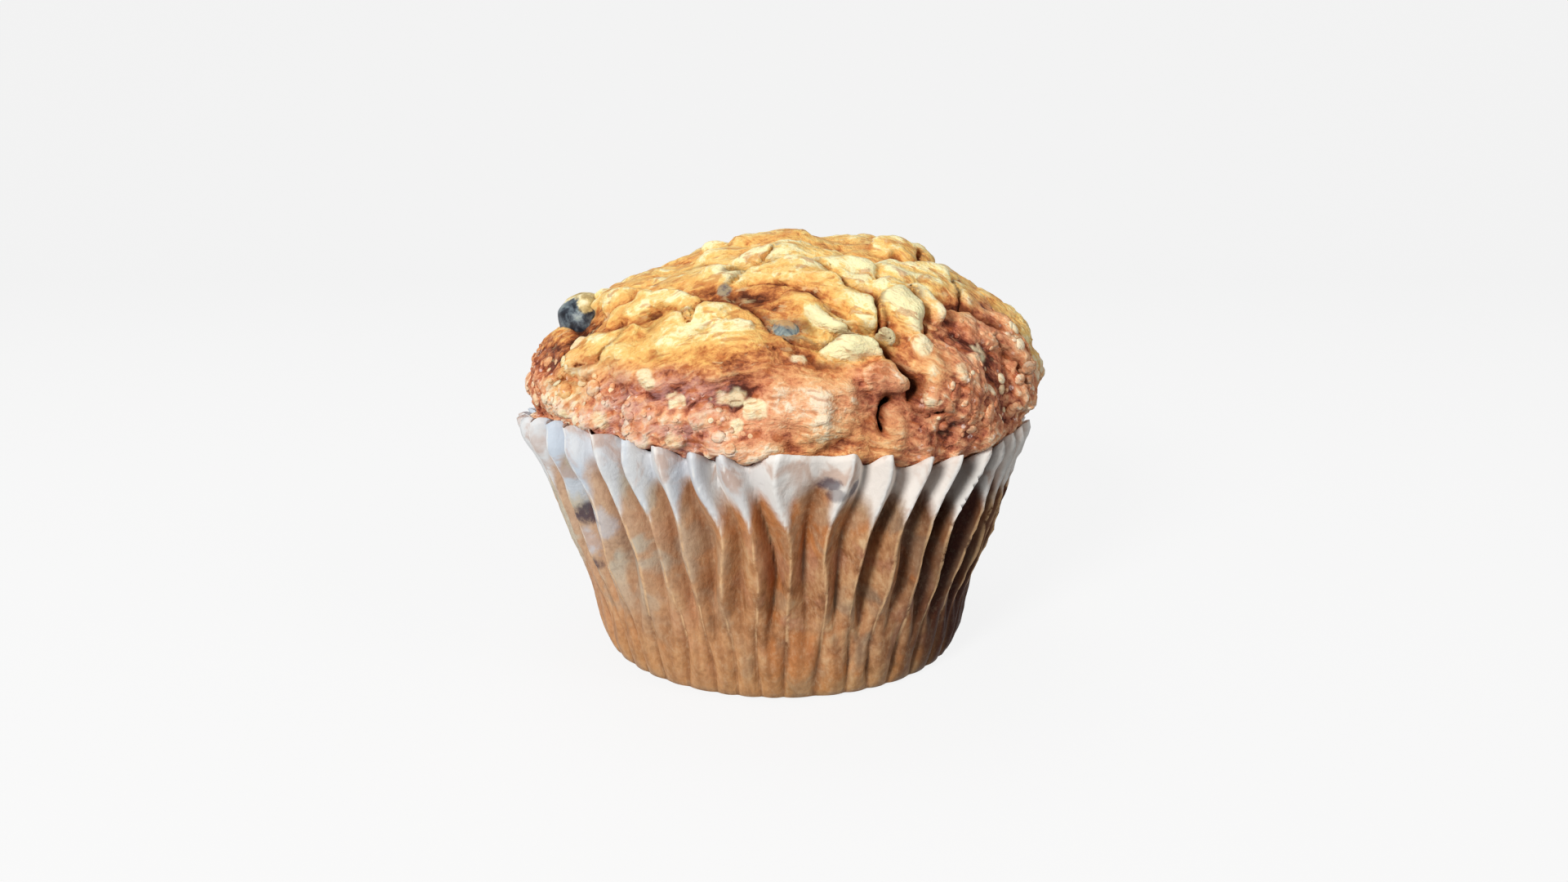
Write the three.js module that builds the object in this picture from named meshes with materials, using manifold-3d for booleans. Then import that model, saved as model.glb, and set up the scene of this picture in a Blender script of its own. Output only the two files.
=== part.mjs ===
// Muffin baked in a pleated paper case: cake with a craggy crown, paper case, whole berries.
// Millimetres, +Z up, origin at the centre of the underside, front towards -Y.
import * as THREE from 'three';
import { mergeVertices } from 'three/addons/utils/BufferGeometryUtils.js';
import Module from 'manifold-3d';

const wasm = await Module();
wasm.setup();

// Paper case.
const BASE_R = 26.9;
const RIM_R = 37.3;
const CASE_H = 35.4;
const RIM_LIFT = 0.9;
const FOOT_ROUND = 0.9;
const FOOT_HIGH = 1.3;
const PLEATS = 46;
const FIRST_PLEAT = 2.4;
const DEPTH_BASE = 2.0;
const BASE_SMOOTH = 4.0;
const DEPTH_RIM = 3.2;
const FOLD_DROP = 2.3;
const LOBE_DROP = 1.4;
const LOBE_DIP = 0.9;
const RIM_BULGE = 0.6;
const RIM_CURL = 0.8;
// Places where the rim stands higher or lower: turn, width (degrees), height (mm).
const RIM_SWELLS = [
  [-52, 24, 1.2],
  [-84, 20, -1.3],
  [42, 26, -1.5],
  [95, 22, -2.6],
  [-112, 20, -1.6],
];
// Places where the rim is pressed out or in: turn, width (degrees), distance (mm).
const RIM_PRESSES = [
  [-82, 30, 0.9],
  [-112, 20, -0.9],
  [82, 42, -1.3],
];
// Place where the rim is smoothed out, and how far the folds beside it spread from it.
const FLAT_AT = 6;
const FLAT_WIDE = 7;
const SPREAD = 0.36;
const SPREAD_WIDE = 29;
// Side on which the outer folds are round instead of sharp.
const ROUND_AT = -62;
const ROUND_WIDE = 40;
const PAPER_ACROSS = 0.75;
const FLOOR_T = 0.5;
const GAP = 0.3;
const GAP_ACROSS = 0.45;

// Crown of the cake.
const CAP_R = 35.9;
const CAP_Z = 38.0;
const CAP_UP = 20.0;
const CAP_DOWN = 12.0;
const CAP_POWER = 2.25;
const SLACK = 0.42;
const SLACK_AT = -95;
const SLACK_WIDE = 48;
const CREASE = 0.5;
const LUMP_POWER = 2.6;
const OVERHANG = 3.0;
const MESH_STEP = 1.95;
const TAU = 2 * Math.PI;

// Lumps of the crown: turn round the axis and tilt from the top (degrees),
// half width, half length, rise above the cap (mm), twist (degrees).
const TOP_LUMPS = [
  [-18, 12, 7.0, 5.0, 2.7, 0],
  [55, 17, 7.0, 5.5, 1.7, 0],
  [-24, 29, 6.5, 6.0, 1.3, 0],
  [64, 30, 5.0, 4.5, 1.2, 0],
  [-96, 26, 1.9, 2.2, 1.6, 0],
  [72, 42, 3.4, 3.8, 2.6, 0],
  [84, 45, 3.6, 3.4, 3.0, 0],
  [72, 54, 4.4, 4.0, 0.9, 0],
];
const ARCH_LUMPS = [
  [-9, 37, 5.5, 4.2, 1.8, 8],
  [7, 37, 6.6, 4.6, 2.3, -5],
  [22, 50, 3.4, 5.2, 2.8, 35],
  [-4, 49.5, 6.2, 2.2, 1.6, 12],
  [9, 51.5, 4.6, 2.6, 2.2, -28],
  [15, 59.5, 2.3, 4.6, 2.3, 25],
  [-3, 57, 3.2, 1.5, 0.8, -15],
  [4, 61.5, 4.2, 1.7, 1.0, -15],
  [10, 67.2, 3.8, 1.6, 1.9, -35],
];
const BLOCK_LUMPS = [
  [28.3, 66.8, 3.2, 3.4, 3.6, 25],
  [31, 59.8, 2.3, 2.0, 2.2, 0],
  [36.8, 65.5, 1.5, 3.6, 3.0, 12],
  [19.0, 65.5, 2.3, 3.4, 2.4, 0],
  [28.5, 71, 3.4, 1.4, 0.9, 0],
  [15.2, 73.4, 4.5, 1.5, 2.6, 4],
  [32, 78, 4.2, 5.0, 2.0, 15],
  [20.4, 79.5, 2.9, 2.4, 1.6, 20],
];
const RIGHT_LUMPS = [
  [47, 55, 7.2, 6.0, 2.2, 0],
  [60, 64, 6.5, 3.6, 1.7, -20],
  [44, 70.5, 7.0, 3.0, 1.3, -15],
  [62, 73, 5.5, 4.6, 1.7, -30],
  [64, 83, 5.5, 5.5, 1.5, 0],
  [36, 82, 6.5, 6.0, 1.6, 0],
  [43, 90, 6.0, 4.5, 1.3, 0],
  [25, 88.5, 3.8, 3.5, 1.0, 0],
  [82, 72, 6.0, 6.5, 1.3, 0],
  [86, 86, 6.5, 5.0, 1.4, 0],
];
const LEFT_LUMPS = [
  [-33, 54, 8.5, 3.8, 0.7, 12],
  [-18, 50, 4.6, 4.4, 1.2, 0],
  [-31.5, 62.3, 4.8, 1.9, 1.9, 0],
  [-40, 66.8, 3.8, 1.9, 1.3, 20],
  [-54, 54, 5.0, 4.0, 0.5, 10],
  [-67, 61, 4.0, 3.2, 0.8, 0],
  [-50, 63.5, 3.6, 2.2, 1.8, 25],
  [-59, 64.5, 4.0, 1.9, 2.0, 10],
  [-60, 75, 2.0, 1.6, 1.8, 0],
  [-17, 69, 8.0, 4.4, 1.5, -5],
  [-8, 74.5, 6.0, 4.0, 1.3, 0],
  [-28, 76, 8.0, 4.4, 1.6, 0],
  [-42, 77, 6.5, 4.2, 1.6, 0],
  [-59, 83, 6.5, 5.0, 1.4, 0],
  [-46, 86, 7.5, 4.0, 1.3, 0],
  [-28.3, 85.6, 2.3, 1.8, 1.5, 0],
  [-80, 82, 6.5, 5.0, 1.0, 0],
  [-82, 66, 5.5, 5.0, 0.2, 0],
];
const FRONT_LUMPS = [
  [5, 84.5, 6.8, 5.0, 1.3, 0],
  [-8, 89, 6.5, 3.8, 1.3, 0],
  [-24, 89.5, 6.0, 3.6, 1.3, 0],
];
const BACK_LUMPS = 26;
const BACK_LOW_AT = 240;
const BACK_LOW_WIDE = 32;

// Hollow that the middle berry sits in: turn, tilt, radius, depth.
const HOLLOW = { turn: -0.6, tilt: 67.2, radius: 3.0, depth: 2.4 };

// Valleys between the lumps: points (turn, tilt) along each, half width, depth.
const VALLEYS = [
  {
    path: [[-16.5, 58.5], [-9, 61.5], [-4.5, 65.5], [-2.5, 69], [1.7, 71.4], [8, 72.4], [12, 71.4], [18, 71.5]],
    wide: 1.0,
    deep: 1.5,
  },
  { path: [[18, 71.5], [21.6, 74.7], [23.8, 78], [26.6, 80.6], [25.5, 83.5]], wide: 1.1, deep: 2.6 },
  {
    path: [[-18, 51.2], [-12.9, 47.7], [-7.4, 44.4], [1, 43.6], [8.3, 46.2], [14.1, 49.1], [16.6, 53.2],
      [17.9, 59.4]],
    wide: 0.8,
    deep: 1.1,
  },
  { path: [[76.9, 51.5], [57, 60], [50.8, 66.4], [56.2, 71.5], [60.8, 76]], wide: 0.9, deep: 1.4 },
  { path: [[23.9, 63], [22, 66.4], [21.8, 69], [20.8, 71]], wide: 0.8, deep: 1.2 },
  { path: [[34.2, 62.3], [33.7, 66.4], [32.6, 71.2]], wide: 0.8, deep: 1.3 },
  {
    path: [[-34.6, 69.6], [-33.6, 66.3], [-30.7, 64.5], [-26.9, 64.6], [-23.3, 66.7], [-21.7, 67.9]],
    wide: 0.8,
    deep: 1.0,
  },
];

// Deep split in the front of the crown: turn, tilt and half sizes.
const SPLIT = { turn: 19.6, tilt: 86, wide: 0.95, long: 3.0, deep: 5.0 };

// Berries: name, turn, tilt, radius, how far each stands out of the cap.
const BERRIES = [
  ['berry_left', -65.5, 69.0, 3.5, 3.4],
  ['berry_middle', 0.7, 67.6, 2.4, 0.0],
  ['berry_back', 168, 50, 3.8, 2.4],
];

// Pale crumb beads and a flake baked on to the crust: turn, tilt, half width, half length, twist.
const BEADS = [
  [-20.1, 84.2, 1.1, 1.1, 0],
  [-4.7, 84.8, 1.5, 1.2, 0],
  [-20.2, 91, 1.2, 1.0, 0],
  [-50.1, 75.9, 1.4, 1.5, 0],
  [-37.9, 89, 1.2, 1.1, 0],
  [-26.3, 80.5, 1.1, 1.2, 40],
  [3.3, 75.8, 1.0, 1.0, 0],
  [28.9, 74.8, 1.3, 1.5, 0],
  [46.8, 75.5, 1.3, 1.9, 30],
  [41.4, 78.4, 1.6, 1.0, 10],
  [-33, 84, 1.3, 0.9, 20],
  [-15, 87, 1.4, 1.0, 20],
  [-8.7, 68.7, 1.5, 0.8, 0],
  [-10.5, 82, 2.6, 1.3, 6],
];
const BACK_BEADS = 9;
const BEAD_HIGH = 0.8;

const rad = (degrees) => degrees * Math.PI / 180;
const mix = (a, b, t) => a + (b - a) * t;
const clamp = (x, low, high) => Math.min(high, Math.max(low, x));

// 0 up to one limit and 1 past the other.
function smooth(x, low, high) {
  const t = clamp((x - low) / (high - low), 0, 1);
  return t * t * (3 - 2 * t);
}

// 1 at one angle round the axis, falling to 0 on both sides of it.
function swell(theta, at, wide) {
  return Math.exp((Math.cos(theta - rad(at)) - 1) * 2 / rad(wide) ** 2);
}

function smoothMin(a, b, k) {
  const h = Math.max(k - Math.abs(a - b), 0) / k;
  return Math.min(a, b) - h * h * k * 0.25;
}
const smoothMax = (a, b, k) => -smoothMin(-a, -b, k);

// Number of pleats passed up to an angle; whole on an outer fold of the paper.
function pleatTurn(theta, z) {
  const rise = z / CASE_H;
  const near = swell(theta, FLAT_AT, SPREAD_WIDE) * smooth(rise, 0.66, 0.98);
  const wander = 0.016 * Math.sin(5 * theta + 0.7)
    + 0.011 * Math.sin(9 * theta + 1.5 * rise + 2.0)
    + 0.006 * Math.sin(17 * theta + 3 * rise)
    + 0.013 * Math.sin(11 * theta + 8 * rise + 1.0)
    + 0.007 * Math.sin(23 * theta - 13 * rise)
    - SPREAD * near * Math.sin(theta - rad(FLAT_AT));
  return PLEATS * (theta + wander - rad(FIRST_PLEAT)) / TAU;
}

// The rim is lower on the inner folds; round folds also dip a little at their crests.
function rimHeight(theta, folded) {
  const sharp = smooth(folded, 0, 1) * FOLD_DROP;
  const lobed = smooth(folded, 0.5, 1) * LOBE_DROP + (1 - folded) ** 2.5 * LOBE_DIP;
  const flat = 1 - 0.8 * swell(theta, FLAT_AT, FLAT_WIDE);
  const sunk = mix(sharp, lobed, swell(theta, ROUND_AT, ROUND_WIDE)) * flat;
  const sway = 0.35 * Math.sin(2 * theta + 2.4) + 0.25 * Math.sin(7 * theta);
  const lift = RIM_SWELLS.reduce((sum, [at, wide, rise]) => sum + rise * swell(theta, at, wide), 0);
  return CASE_H + RIM_LIFT + sway + lift - sunk;
}

// Wide bulges over narrow creases near the foot turn into sharp pleats near the rim.
function paperRadius(theta, folded, z) {
  const rise = clamp(z / CASE_H, 0, 1.1);
  const press = RIM_PRESSES.reduce((sum, [at, wide, out]) => sum + out * swell(theta, at, wide), 0);
  const foot = FOOT_ROUND * Math.exp(-z / FOOT_HIGH);
  const bulge = 13 * (rise - 0.93);
  const curled = swell(theta, ROUND_AT, ROUND_WIDE) + swell(theta, 70, 40) + 0.6 * swell(theta, 180, 80);
  const rolled = RIM_BULGE * Math.exp(-bulge * bulge) - RIM_CURL * smooth(rise, 0.95, 1.05);
  const outer = mix(BASE_R, RIM_R, rise ** 1.06) + press * rise ** 4 - foot + rolled * curled;
  const uneven = 1 + 0.18 * Math.sin(19 * theta + 1.0) + 0.14 * Math.sin(31 * theta + 2.2);
  const creased = (1 - Math.exp(-z / BASE_SMOOTH)) * DEPTH_BASE * (1 - folded) ** 2.5;
  const roundOut = 1.1 + 0.8 * swell(theta, ROUND_AT, ROUND_WIDE);
  const flat = 1 - 0.6 * swell(theta, FLAT_AT, FLAT_WIDE) * smooth(rise, 0.7, 1.0);
  const pleated = folded ** roundOut * (uneven + 0.35 * swell(theta, 62, 34)) * flat * DEPTH_RIM;
  return outer - mix(creased, pleated, smooth(rise, 0.08, 0.55));
}

// Angle at which the given pleat turn lies at height z.
function angleOfTurn(turn, z) {
  let theta = turn * TAU / PLEATS;
  for (let pass = 0; pass < 40; pass += 1) {
    theta += (turn - pleatTurn(theta, z)) * TAU / PLEATS;
  }
  return theta;
}

function capPower(theta) {
  return CAP_POWER - SLACK * swell(theta, SLACK_AT, SLACK_WIDE);
}

function capPoint(turn, tilt) {
  const a = rad(turn);
  const power = capPower(a);
  const s = Math.sin(rad(tilt));
  const c = Math.cos(rad(tilt));
  const q = ((s / CAP_R) ** power + (Math.abs(c) / CAP_UP) ** power) ** (1 / power);
  const r = s / q;
  const h = c / q;
  const out = (r / CAP_R) ** (power - 1) / CAP_R;
  const up = Math.sign(h) * (Math.abs(h) / CAP_UP) ** (power - 1) / CAP_UP;
  const point = new THREE.Vector3(r * Math.sin(a), -r * Math.cos(a), CAP_Z + h);
  const normal = new THREE.Vector3(out * Math.sin(a), -out * Math.cos(a), up).normalize();
  return { point, normal };
}

function backLumps() {
  const list = [];
  for (let k = 0; k < BACK_LUMPS; k += 1) {
    const turn = 100 + 160 * ((k * 0.6180339) % 1);
    const tilt = 22 + 66 * ((k + 0.5) / BACK_LUMPS) ** 0.8;
    const wide = 6.5 + 2.6 * Math.sin(2.1 * k + 0.4);
    const long = 5.0 + 1.6 * Math.sin(3.7 * k + 1.1);
    const low = 0.7 * Math.exp(-(((turn - BACK_LOW_AT) / BACK_LOW_WIDE) ** 2));
    const rise = (2.2 + 0.9 * Math.sin(5.3 * k) - 0.8 * (tilt / 88)) * (1 - low);
    list.push([turn, tilt, wide, long, rise, 40 * Math.sin(4.1 * k)]);
  }
  return list;
}

function lumpFrame([turn, tilt, wide, long, rise, twist]) {
  const { point, normal } = capPoint(turn, tilt);
  const across = new THREE.Vector3(Math.cos(rad(turn)), Math.sin(rad(turn)), 0);
  const along = new THREE.Vector3().crossVectors(normal, across);
  const c = Math.cos(rad(twist));
  const s = Math.sin(rad(twist));
  const u = across.clone().multiplyScalar(c).addScaledVector(along, s);
  const v = across.clone().multiplyScalar(-s).addScaledVector(along, c);
  const thick = 0.55 * Math.min(wide, long) + 0.5 * rise;
  const centre = point.clone().addScaledVector(normal, rise - thick);
  return { centre, u, v, normal, size: [wide, long, thick] };
}

const lumpFrames = [
  ...TOP_LUMPS, ...ARCH_LUMPS, ...BLOCK_LUMPS, ...RIGHT_LUMPS, ...LEFT_LUMPS, ...FRONT_LUMPS,
  ...backLumps(),
].map(lumpFrame);
const arm = new THREE.Vector3();

function lumpDistance(p, lump) {
  arm.subVectors(p, lump.centre);
  const parts = [lump.u, lump.v, lump.normal].map((axis, i) => Math.abs(arm.dot(axis)) / lump.size[i]);
  const near = parts.reduce((sum, part) => sum + part ** LUMP_POWER, 0) ** (1 / LUMP_POWER) + 1e-9;
  const slopes = parts.map((part, i) => (part / near) ** (LUMP_POWER - 1) / lump.size[i]);
  return (near - 1) / (Math.hypot(...slopes) + 1e-9);
}

const valleyParts = VALLEYS.flatMap(({ path, wide, deep }) => {
  const spots = path.map(([turn, tilt]) => capPoint(turn, tilt));
  return spots.slice(1).map((end, i) => {
    const start = spots[i];
    const down = start.normal.clone().add(end.normal).normalize();
    const from = start.point.clone().addScaledVector(start.normal, 1.5);
    const to = end.point.clone().addScaledVector(end.normal, 1.5);
    const along = to.clone().sub(from);
    along.addScaledVector(down, -along.dot(down));
    const length = along.length();
    along.normalize();
    const side = new THREE.Vector3().crossVectors(down, along);
    return { from, down, along, side, length, wide, deep: deep + 1.5 };
  });
});

function valleyDistance(p, part) {
  arm.subVectors(p, part.from);
  const a = arm.dot(part.along);
  const past = a - clamp(a, 0, part.length);
  const deep = -arm.dot(part.down);
  const taper = clamp(1 - deep / part.deep, 0.15, 1);
  const out = Math.hypot(past, arm.dot(part.side)) - part.wide * taper;
  return Math.max(out, deep - part.deep);
}

const hollowSpot = capPoint(HOLLOW.turn, HOLLOW.tilt);
const hollowCentre = hollowSpot.point.clone()
  .addScaledVector(hollowSpot.normal, HOLLOW.radius - HOLLOW.depth + 1.0);

// Small shift that keeps the lumps from being plain ellipsoids.
function warp(p) {
  const x = 0.45 * Math.sin(0.52 * p.y + 0.9 + 1.1 * Math.sin(0.31 * p.z))
    + 0.25 * Math.sin(1.13 * p.z + 0.71 * p.x + 1.0);
  const y = 0.45 * Math.sin(0.55 * p.z + 2.1 + 1.1 * Math.sin(0.35 * p.x))
    + 0.25 * Math.sin(1.07 * p.x + 0.83 * p.y + 2.0);
  const z = 0.40 * Math.sin(0.58 * p.x + 4.0 + 1.1 * Math.sin(0.33 * p.y))
    + 0.25 * Math.sin(1.21 * p.y + 0.67 * p.z + 3.0);
  return new THREE.Vector3(p.x + x, p.y + y, p.z + z);
}

// Negative inside the crown, positive outside.
function crownField(p, theta, wall, rim) {
  const bent = warp(p);
  const power = capPower(theta);
  const r = Math.hypot(bent.x, bent.y);
  const dz = bent.z - CAP_Z;
  const high = dz > 0 ? CAP_UP : CAP_DOWN;
  const sum = (r / CAP_R) ** power + (Math.abs(dz) / high) ** power;
  const q = sum ** (1 / power) + 1e-9;
  let f = Math.hypot(r, dz) * (1 - 1 / q);
  for (const lump of lumpFrames) {
    f = smoothMin(f, lumpDistance(bent, lump), CREASE);
  }
  f = smoothMax(f, HOLLOW.radius - p.distanceTo(hollowCentre), 1.2);
  for (const part of valleyParts) {
    f = smoothMax(f, -valleyDistance(p, part), 0.8);
  }
  const over = Math.max(p.z - rim - 0.1, 0);
  return smoothMax(f, Math.hypot(p.x, p.y) - wall - OVERHANG * over, 0.5);
}

const cakeInset = PAPER_ACROSS + GAP_ACROSS;

// Surface point of the crown in the direction (theta, tilt), tilt in radians from the top.
function crownPoint(theta, tilt) {
  const dir = new THREE.Vector3(
    Math.sin(tilt) * Math.sin(theta), -Math.sin(tilt) * Math.cos(theta), Math.cos(tilt));
  const middle = new THREE.Vector3(0, 0, CAP_Z);
  const p = new THREE.Vector3();
  const rim = rimHeight(theta, 1);
  const field = (t) => {
    p.copy(middle).addScaledVector(dir, t);
    const wall = paperRadius(theta, 1, Math.min(p.z, CASE_H * 1.05)) - cakeInset;
    return crownField(p, theta, wall, rim);
  };
  let far = 48;
  while (far > 1 && field(far - 0.5) > 0) {
    far -= 0.5;
  }
  let near = far - 0.5;
  for (let pass = 0; pass < 14; pass += 1) {
    const half = 0.5 * (near + far);
    if (field(half) > 0) {
      far = half;
    } else {
      near = half;
    }
  }
  field(near);
  return p.clone();
}

// Closed mesh built from rings of points; neighbouring rings may differ in count.
class RingMesh {
  constructor() {
    this.points = [];
    this.faces = [];
  }

  add(p) {
    this.points.push(p);
    return this.points.length - 1;
  }

  ring(spots) {
    return spots.map((spot) => ({ id: this.add(spot.p), at: spot.at }));
  }

  // Joins an upper ring to a lower one, both ordered by angle.
  zip(upper, lower) {
    const n = upper.length;
    const m = lower.length;
    let i = 0;
    let j = 0;
    const upperAt = (k) => upper[k % n].at + (k >= n ? 1 : 0);
    const lowerAt = (k) => lower[k % m].at + (k >= m ? 1 : 0);
    while (i < n || j < m) {
      const moveLower = i >= n || (j < m && lowerAt(j + 1) <= upperAt(i + 1));
      const a = upper[i % n].id;
      const b = lower[j % m].id;
      if (moveLower) {
        this.faces.push([a, b, lower[(j + 1) % m].id]);
        j += 1;
      } else {
        this.faces.push([a, b, upper[(i + 1) % n].id]);
        i += 1;
      }
    }
  }

  capTop(ring, p) {
    const top = this.add(p);
    ring.forEach((spot, i) => {
      this.faces.push([top, spot.id, ring[(i + 1) % ring.length].id]);
    });
  }

  capBottom(ring, p) {
    const bottom = this.add(p);
    ring.forEach((spot, i) => {
      this.faces.push([bottom, ring[(i + 1) % ring.length].id, spot.id]);
    });
  }

  geometry() {
    const geometry = new THREE.BufferGeometry();
    const flat = this.points.flatMap((p) => [p.x, p.y, p.z]);
    geometry.setAttribute('position', new THREE.Float32BufferAttribute(flat, 3));
    geometry.setIndex(this.faces.flat());
    return geometry;
  }
}

function toSolid(geometry) {
  const bare = new THREE.BufferGeometry();
  bare.setAttribute('position', geometry.getAttribute('position'));
  if (geometry.index) {
    bare.setIndex(geometry.index);
  }
  const merged = mergeVertices(bare, 1e-4);
  return new wasm.Manifold(new wasm.Mesh({
    numProp: 3,
    vertProperties: new Float32Array(merged.getAttribute('position').array),
    triVerts: new Uint32Array(merged.index.array),
  }));
}

function toGeometry(solid) {
  const mesh = solid.getMesh();
  const geometry = new THREE.BufferGeometry();
  const count = mesh.vertProperties.length / mesh.numProp;
  const flat = new Float32Array(count * 3);
  for (let i = 0; i < count; i += 1) {
    for (let k = 0; k < 3; k += 1) {
      flat[3 * i + k] = mesh.vertProperties[mesh.numProp * i + k];
    }
  }
  geometry.setAttribute('position', new THREE.BufferAttribute(flat, 3));
  geometry.setIndex(new THREE.BufferAttribute(new Uint32Array(mesh.triVerts), 1));
  return geometry;
}

// Rings of the wall below the rim: height as a part of the rim's height, and how far the cake
// stands back from the paper there beyond the usual gap.
const WALL_RINGS = [[0.94, 0.1], [0.86, 0.5], [0.64, 0.7], [0.42, 0.9], [0.2, 0.9], [0, 0.3]];

const polar = (r, theta, z) => new THREE.Vector3(r * Math.sin(theta), -r * Math.cos(theta), z);

// One ring of a pleated wall, `steps` points a pleat. `share` is the height as a part of the rim's.
function pleatRing(steps, share, inset, lift) {
  const spots = [];
  for (let k = 0; k < PLEATS * steps; k += 1) {
    const turn = k / steps;
    const folded = Math.abs(2 * (turn - Math.round(turn)));
    const guess = angleOfTurn(turn, share * CASE_H);
    const z = share * rimHeight(guess, folded) + lift;
    const r = paperRadius(guess, folded, z) - inset;
    spots.push({ p: polar(r, guess, z), at: k / (PLEATS * steps) });
  }
  return spots;
}

function paperCase() {
  const mesh = new RingMesh();
  const shares = [1, ...WALL_RINGS.map(([share]) => share)];
  const outer = shares.map((share) => mesh.ring(pleatRing(4, share, 0, 0)));
  const inner = shares.map((share) => {
    const lift = share === 0 ? FLOOR_T : 0;
    return mesh.ring(pleatRing(4, share, PAPER_ACROSS, lift));
  });
  mesh.zip(inner[0], outer[0]);
  for (let k = 1; k < shares.length; k += 1) {
    mesh.zip(outer[k - 1], outer[k]);
    mesh.zip(inner[k], inner[k - 1]);
  }
  mesh.capBottom(outer[shares.length - 1], new THREE.Vector3(0, 0, 0));
  mesh.capTop(inner[shares.length - 1], new THREE.Vector3(0, 0, FLOOR_T));
  return mesh.geometry();
}

function cakeBody() {
  const mesh = new RingMesh();
  const rings = [];
  const arc = 46;
  const steps = Math.round(arc / MESH_STEP);
  for (let k = 1; k <= steps; k += 1) {
    const tilt = rad(88) * (k / steps);
    const count = Math.max(6, Math.round(TAU * 36 * Math.sin(tilt) ** 0.9 / MESH_STEP));
    const spots = [];
    for (let i = 0; i < count; i += 1) {
      spots.push({ p: crownPoint(TAU * (i / count), tilt), at: i / count });
    }
    rings.push(mesh.ring(spots));
  }
  const start = angleOfTurn(0, CASE_H) / TAU;
  const shoulder = pleatRing(2, 1, cakeInset, 0).map((spot, k) => {
    const theta = angleOfTurn(k / 2, CASE_H);
    const tip = rimHeight(theta, 0);
    const z = Math.max(tip, rimHeight(theta, 0.5)) + 0.5;
    const reach = Math.min(paperRadius(theta, 0, tip) - cakeInset, CAP_R - 0.3);
    return { p: polar(reach, theta, z), at: spot.at + start };
  });
  const lip = pleatRing(2, 1, cakeInset + 0.1, 0).map((spot, k) => {
    const theta = angleOfTurn(k / 2, CASE_H);
    const z = rimHeight(theta, 1) - 0.3;
    const r = paperRadius(theta, 1, z) - cakeInset - 0.1;
    return { p: polar(r, theta, z), at: spot.at + start };
  });
  rings.push(mesh.ring(shoulder));
  rings.push(mesh.ring(lip));
  for (const [share, spare] of WALL_RINGS) {
    const lift = share === 0 ? FLOOR_T + GAP : 0;
    const spots = pleatRing(2, share, cakeInset + spare, lift);
    rings.push(mesh.ring(spots.map((spot) => ({ p: spot.p, at: spot.at + start }))));
  }
  for (let k = 1; k < rings.length; k += 1) {
    mesh.zip(rings[k - 1], rings[k]);
  }
  mesh.capTop(rings[0], crownPoint(0, 0));
  mesh.capBottom(rings[rings.length - 1], new THREE.Vector3(0, 0, FLOOR_T + GAP));
  return mesh.geometry();
}

// Ball with its own half sizes: across, up the slope, and out of the crust.
function ball(centre, frame, [across, along, out], detail) {
  const geometry = new THREE.IcosahedronGeometry(1, detail);
  geometry.scale(across, along, out);
  geometry.applyMatrix4(new THREE.Matrix4().makeBasis(frame.u, frame.v, frame.normal));
  geometry.translate(centre.x, centre.y, centre.z);
  return toSolid(geometry);
}

function backBeads() {
  const list = [];
  for (let k = 0; k < BACK_BEADS; k += 1) {
    const turn = 105 + 150 * ((k * 0.754877) % 1);
    const tilt = 58 + 28 * ((k * 0.569840) % 1);
    const size = 1.3 + 0.2 * Math.sin(3 * k);
    list.push([turn, tilt, size, size, 0]);
  }
  return list;
}

let cake = toSolid(cakeBody());
for (const [turn, tilt, wide, long, twist] of [...BEADS, ...backBeads()]) {
  const frame = lumpFrame([turn, tilt, wide, long, 0, twist]);
  cake = cake.add(ball(crownPoint(rad(turn), rad(tilt)), frame, [wide, long, BEAD_HIGH], 0));
}

const berries = BERRIES.map(([name, turn, tilt, radius, out]) => {
  const frame = lumpFrame([turn, tilt, radius, radius, 0, 0]);
  const centre = capPoint(turn, tilt).point.addScaledVector(frame.normal, out - radius);
  const pocket = radius + GAP + 0.1;
  cake = cake.subtract(ball(centre, frame, [pocket, pocket, pocket], 3));
  return { name, solid: ball(centre, frame, [radius, radius, radius * 0.94], 3) };
});

const splitFrame = lumpFrame([SPLIT.turn, SPLIT.tilt, 1, 1, 0, 0]);
const splitSpot = crownPoint(rad(SPLIT.turn), rad(SPLIT.tilt));
cake = cake.subtract(ball(splitSpot, splitFrame, [SPLIT.wide, SPLIT.long, SPLIT.deep], 2));

function piece(name, geometry, colour, roughness) {
  geometry.computeVertexNormals();
  const material = new THREE.MeshStandardMaterial({ color: colour, roughness, metalness: 0 });
  const mesh = new THREE.Mesh(geometry, material);
  mesh.name = name;
  return mesh;
}

const muffin = new THREE.Group();
muffin.name = 'muffin';
muffin.add(piece('cake', toGeometry(cake), 0xc98a4e, 0.8));
muffin.add(piece('paper_case', paperCase(), 0xb08058, 0.7));
for (const { name, solid } of berries) {
  muffin.add(piece(name, toGeometry(solid), 0x2b3350, 0.5));
}

export default muffin;
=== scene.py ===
"""Muffin in a pleated paper case: baked crust, whole berries, greaseproof paper, crumbs.

Lengths are in millimetres and angles in degrees until a mesh is made. A place on the crown is
given by its turn round the axis (0 at the front, positive to the right) and its tilt from the top,
seen from the middle of the crown's base.
"""
import math

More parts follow.
